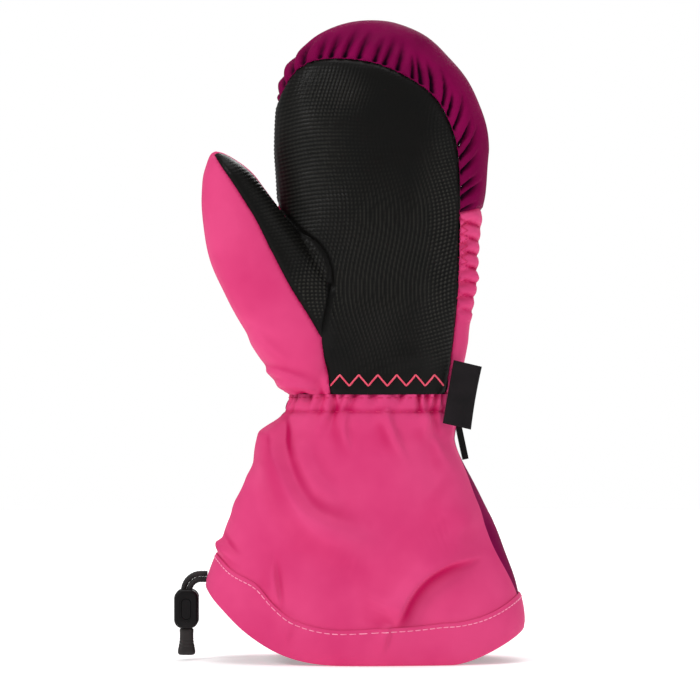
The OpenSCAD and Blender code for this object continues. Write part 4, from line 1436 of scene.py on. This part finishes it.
ZIGZAG_PITCH, ZIGZAG_H, ZIGZAG_MID = 8.5, 5, 126.8
zigzag_points = []
for k in range(13):
    up_or_down = -1 if k % 2 == 0 else 1
    zigzag_points.append((-15.2 + k * ZIGZAG_PITCH / 2, ZIGZAG_MID + ZIGZAG_H / 2 * up_or_down))
palm_zigzag = make_piece("palm_zigzag_thread", *zigzag(zigzag_points, 0.42, 9), coral_thread, sharp=None)
stand_in(palm_zigzag, "coral_thread", "palm_zigzag_stitching")
side_points = [(45.2 + (1.5 if k % 2 else -1.5), 178.4 + 1.75 * k) for k in range(13)]
side_zigzag = make_piece("side_zigzag_thread", *zigzag(side_points, 0.28, 5), pink_thread, sharp=None)
stand_in(side_zigzag, "pink_thread", "side_stitching")


def ring_stitches(place, count, share, radius, skip=None):
    """A row of running stitches round the cuff, on the points that place gives for an angle and a lift."""
    start = 360 * np.arange(count) / count
    if skip:
        start = start[~((start > skip[0]) & (start < skip[1]))]
    t = np.linspace(0, 1, 5)
    angle = (start[:, None] + share * 360 / count * t).ravel()
    lift = np.tile(stitch_lift(t, radius), len(start))
    routes = place(angle, lift).reshape(len(start), 5, 3)
    return joined([thread(route, radius) for route in routes])


def hem_line(angle, lift):
    base = above_rim(angle, 0 * angle, 0)
    height = hem_height(base[:, 0], base[:, 1])
    return above_rim(angle, height - 1.5, HEM_OUT + 0.1 + lift)


def waist_line(away):
    return lambda angle, lift: cuff_surface(angle, away / (WAIST_Z - rim(section_x(angle))), lift)


hem_row = ring_stitches(hem_line, 128, 0.74, 0.24)
hem_stitches = make_piece("hem_topstitch_thread", *hem_row, pale_thread, sharp=None)
stand_in(hem_stitches, "pink_thread", "hem_topstitching")
UNDER_LABEL = (268, 305)
waist_rows = joined(
    [
        ring_stitches(waist_line(1.6), 76, 0.62, 0.22, UNDER_LABEL),
        ring_stitches(waist_line(7.8), 76, 0.62, 0.22, UNDER_LABEL),
    ]
)
waist_stitches = make_piece("wrist_stitch_thread", *waist_rows, pink_thread, sharp=None)
stand_in(waist_stitches, "pink_thread", "wrist_stitching")
band_piece = round_band("wrist_elastic_band", elastic_loop, elastic, 200)
stand_in(band_piece, "elastic", "wrist_elastic")

# ---- Side label, tab and hook ----

LABEL_T = 0.5


def label_point(u, v):
    """u runs across from the sewn edge, v up the label."""
    corner = mix(np.array([35.2, 107.6]), np.array([40.2, 135.9]), v[..., None])
    across = np.array([12.75, -3.0]) / 13.1
    width = 13.1 - 0.4 * np.sin(math.pi * v)
    xz = corner + across * (u * width)[..., None]
    y = mix(-19.6, -17.0, v) - 0.9 * np.sin(math.pi * u) * (0.4 + 0.6 * v) + 1.6 * u**2
    y = y - 0.35 * np.sin(2.3 * v + 0.4) * u
    return np.stack([xz[..., 0], y, xz[..., 1]], -1)


label_u, label_v = np.meshgrid(np.linspace(0, 1, 40), np.linspace(0, 1, 84))
label_points = label_point(label_u, label_v)
edge_u = np.minimum(label_u, 1 - label_u) * 13
edge_v = np.minimum(label_v, 1 - label_v) * 28
label_edge = np.minimum(edge_u, edge_v)
label_points[..., 1] -= 0.14 * bell(label_edge - 0.7, 0.35)
label_points[..., 1] += 0.35 * bell(label_edge, 0.28)
label_tris = as_triangles(stack_faces(84, 40, closed=False))[:, ::-1]
label_flat = label_points.reshape(-1, 3)
if normals_of(label_flat, label_tris)[:, 1].mean() > 0:
    label_tris = label_tris[:, ::-1]
label_normals = normals_of(label_flat, label_tris)
side_label = thick_piece(
    "side_label_tape", label_flat, label_tris, label_normals, label_tape, thickness=LABEL_T
)
stand_in(side_label, "label_tape", "side_label")


def dress(node, material, edge=0.0):
    """Gives a CAD node its finish, and rounds its edges a little."""
    shape = nodes[node]
    shape.data.materials.clear()
    shape.data.materials.append(material)
    if edge:
        rounding = shape.modifiers.new("edges", "BEVEL")
        rounding.width = edge * MM
        rounding.segments = 3
        rounding.limit_method = "ANGLE"
        rounding.angle_limit = math.radians(40)
        rounding.harden_normals = False


dress("pair_hook", lock_plastic, 0.5)
dress("hook_tab", webbing, 0.15)
dress("cord_lock_button", lock_plastic, 0.25)
dress("cord_lock_spring", spring_steel)

# ---- Cord lock and cord end ----

LOCK_W, LOCK_D, LOCK_L = 11, 12, 17.6
LOCK_LOW = 14.3
LOCK_MID_Z = LOCK_LOW + LOCK_L / 2
LOCK_BACK = LOCK_D / 2 - 1


def oblong(width, height, radius, y, per_corner=10):
    """A rounded rectangle in X and Z, centred on the tail."""
    points = []
    for cx, cz, begin in ((1, 1, 0), (-1, 1, 90), (-1, -1, 180), (1, -1, 270)):
        for k in range(per_corner):
            a = begin + 90 * k / (per_corner - 1)
            points.append(
                (
                    TAIL_X + cx * (width / 2 - radius) + radius * cos_deg(a),
                    y,
                    LOCK_MID_Z + cz * (height / 2 - radius) + radius * sin_deg(a),
                )
            )
    return np.array(points)


def block(width, height, radius, y0, y1, edge=0.0):
    """A rounded upright from y0 to y1, its front and back edges rounded by edge."""
    if edge:
        front, back = [], []
        for a in (0, 15, 30, 45, 60, 75, 90):
            inset = edge * (1 - sin_deg(a))
            depth = edge * (1 - cos_deg(a))
            size = (width - 2 * inset, height - 2 * inset, max(0.3, radius - inset))
            front.append(oblong(*size, y0 + depth))
            back.append(oblong(*size, y1 - depth))
        rings = front + back[::-1]
    else:
        rings = [oblong(width, height, radius, y0), oblong(width, height, radius, y1)]
    count = len(rings[0])
    faces = stack_faces(len(rings), count)[:, ::-1].tolist()
    faces.append(list(range(count)))
    faces.append([(len(rings) - 1) * count + i for i in range(count)][::-1])
    return np.concatenate(rings), faces


def box_shape(low, high):
    corners = [(x, y, z) for x in (low[0], high[0]) for y in (low[1], high[1]) for z in (low[2], high[2])]
    faces = [[0, 1, 3, 2], [4, 6, 7, 5], [0, 4, 5, 1], [2, 3, 7, 6], [0, 2, 6, 4], [1, 5, 7, 3]]
    return np.array(corners), faces


def outward(mesh):
    shape = bmesh.new()
    shape.from_mesh(mesh)
    bmesh.ops.recalc_face_normals(shape, faces=shape.faces)
    shape.to_mesh(mesh)
    shape.free()


def carved(name, shape, cutters, material, body, slot, node):
    """A solid with other solids cut out of it."""
    solid = bpy.data.objects.new(name, make_mesh(name, *shape))
    outward(solid.data)
    scene.collection.objects.link(solid)
    tools = []
    for k, cutter in enumerate(cutters):
        tool = bpy.data.objects.new(f"cutter_{k}", make_mesh(f"cutter_{k}", *cutter))
        outward(tool.data)
        scene.collection.objects.link(tool)
        take = solid.modifiers.new(f"cut_{k}", "BOOLEAN")
        take.operation = "DIFFERENCE"
        take.solver = "EXACT"
        take.object = tool
        tools.append(tool)
    result = bpy.data.meshes.new_from_object(solid.evaluated_get(bpy.context.evaluated_depsgraph_get()))
    for spare in [solid, *tools]:
        bpy.data.objects.remove(spare)
    result.shade_smooth()
    result.set_sharp_from_angle(angle=math.radians(35))
    result.materials.clear()
    result.materials.append(material)
    piece = bpy.data.objects.new(name, result)
    scene.collection.objects.link(piece)
    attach(piece, body)
    return stand_in(piece, slot, node)


CORD_ROOM = CORD_D + 0.6
WINDOW_D = CORD_ROOM + 1.8
BUTTON_FRONT = CORD_ROOM / 2 - WINDOW_D - 1
PAIR_W = 2 * STRAND_OFF + CORD_D
LOCK_TOP = LOCK_LOW + LOCK_L
FUNNEL = 4.5
funnel_outline = [
    (0, LOCK_TOP - FUNNEL), (0, LOCK_TOP + 1), (LOCK_W, LOCK_TOP + 1),
    (LOCK_W, LOCK_TOP - 1.5), (PAIR_W / 2, LOCK_TOP - FUNNEL),
]
funnel_points = [(TAIL_X + fx, fy, fz) for fy in (-CORD_ROOM / 2, CORD_ROOM / 2) for fx, fz in funnel_outline]
funnel_faces = [[0, 1, 2, 3, 4], [9, 8, 7, 6, 5]]
funnel_faces += [[i, (i + 1) % 5, 5 + (i + 1) % 5, 5 + i] for i in range(5)]
CORD_SLOT_HALF_W = PAIR_W / 2 + 0.3
barrel = carved(
    "cord_lock_barrel_moulding",
    block(LOCK_W, LOCK_L, 4, -LOCK_D / 2, LOCK_BACK, edge=1.5),
    [
        block(9, 11.6, 2, BUTTON_FRONT - 0.3, LOCK_D / 2),
        block(4.6, 9.6, 2.2, -LOCK_D / 2 - 1, 0),
        block(6.4, 11.4, 3.1, -LOCK_D / 2 - 1, -LOCK_D / 2 + 0.35),
        box_shape(
            (TAIL_X - CORD_SLOT_HALF_W, -CORD_ROOM / 2, LOCK_LOW - 1),
            (TAIL_X + CORD_SLOT_HALF_W, CORD_ROOM / 2, LOCK_TOP + 1),
        ),
        (np.array(funnel_points), funnel_faces),
    ],
    lock_plastic, "cord_lock", "black_plastic", "cord_lock_barrel",
)
cap_mesh = block(LOCK_W, LOCK_L, 4, LOCK_BACK, LOCK_D / 2, edge=0.45)
cap = make_piece("cord_lock_cap_moulding", *cap_mesh, lock_plastic, "cord_lock", sharp=35)
outward(cap.data)
stand_in(cap, "black_plastic", "cord_lock_cap")


END_SQUARENESS = 0.62


def end_ring(z, width, depth, count=48):
    a = 360 * np.arange(count) / count
    x = TAIL_X + width / 2 * signed_pow(cos_deg(a), END_SQUARENESS)
    y = depth / 2 * signed_pow(sin_deg(a), END_SQUARENESS)
    return np.stack([x, y, np.full(count, z)], 1)


END_LEVELS = np.array([14, 13.7, 13, 11.5, 9.5, 7.5, 5.8, 4.4, 3.4, 2.8, 2.35, 2.08, 2.0])
END_WIDTHS = np.array([5.9, 6.3, 6.4, 6.2, 6.2, 6.6, 7.3, 7.85, 8.0, 7.8, 7.2, 6.2, 5.0])
END_DEPTHS = np.array([3.6, 3.9, 4.0, 4.0, 4.1, 4.4, 4.8, 5.3, 5.5, 5.3, 4.8, 3.9, 3.0])
fine_levels = np.concatenate([np.linspace(14, 2.8, 40), [2.55, 2.35, 2.2, 2.08, 2.02, 2.0]])
end_rings = []
for level in fine_levels:
    rib = 0.14 * math.cos(2 * math.pi * (level - 5) / 1.5) if 5.2 < level < 9.6 else 0
    end_rings.append(
        end_ring(
            level,
            float(np.interp(-level, -END_LEVELS, END_WIDTHS)) + rib,
            float(np.interp(-level, -END_LEVELS, END_DEPTHS)) + rib,
        )
    )
end_count = len(end_rings[0])
end_faces = stack_faces(len(end_rings), end_count).tolist()
end_faces.append(list(range(end_count)))
end_faces.append([(len(end_rings) - 1) * end_count + i for i in range(end_count)][::-1])
end_points = np.concatenate(end_rings)
cord_end = make_piece("cord_end_moulding", end_points, end_faces, end_rubber, "drawcord_tail", sharp=45)
outward(cord_end.data)
stand_in(cord_end, "soft_plastic", "cord_end")

# ---- Declared cords and cloth ----


def corners(box):
    return [list(box[0]), list(box[1])]
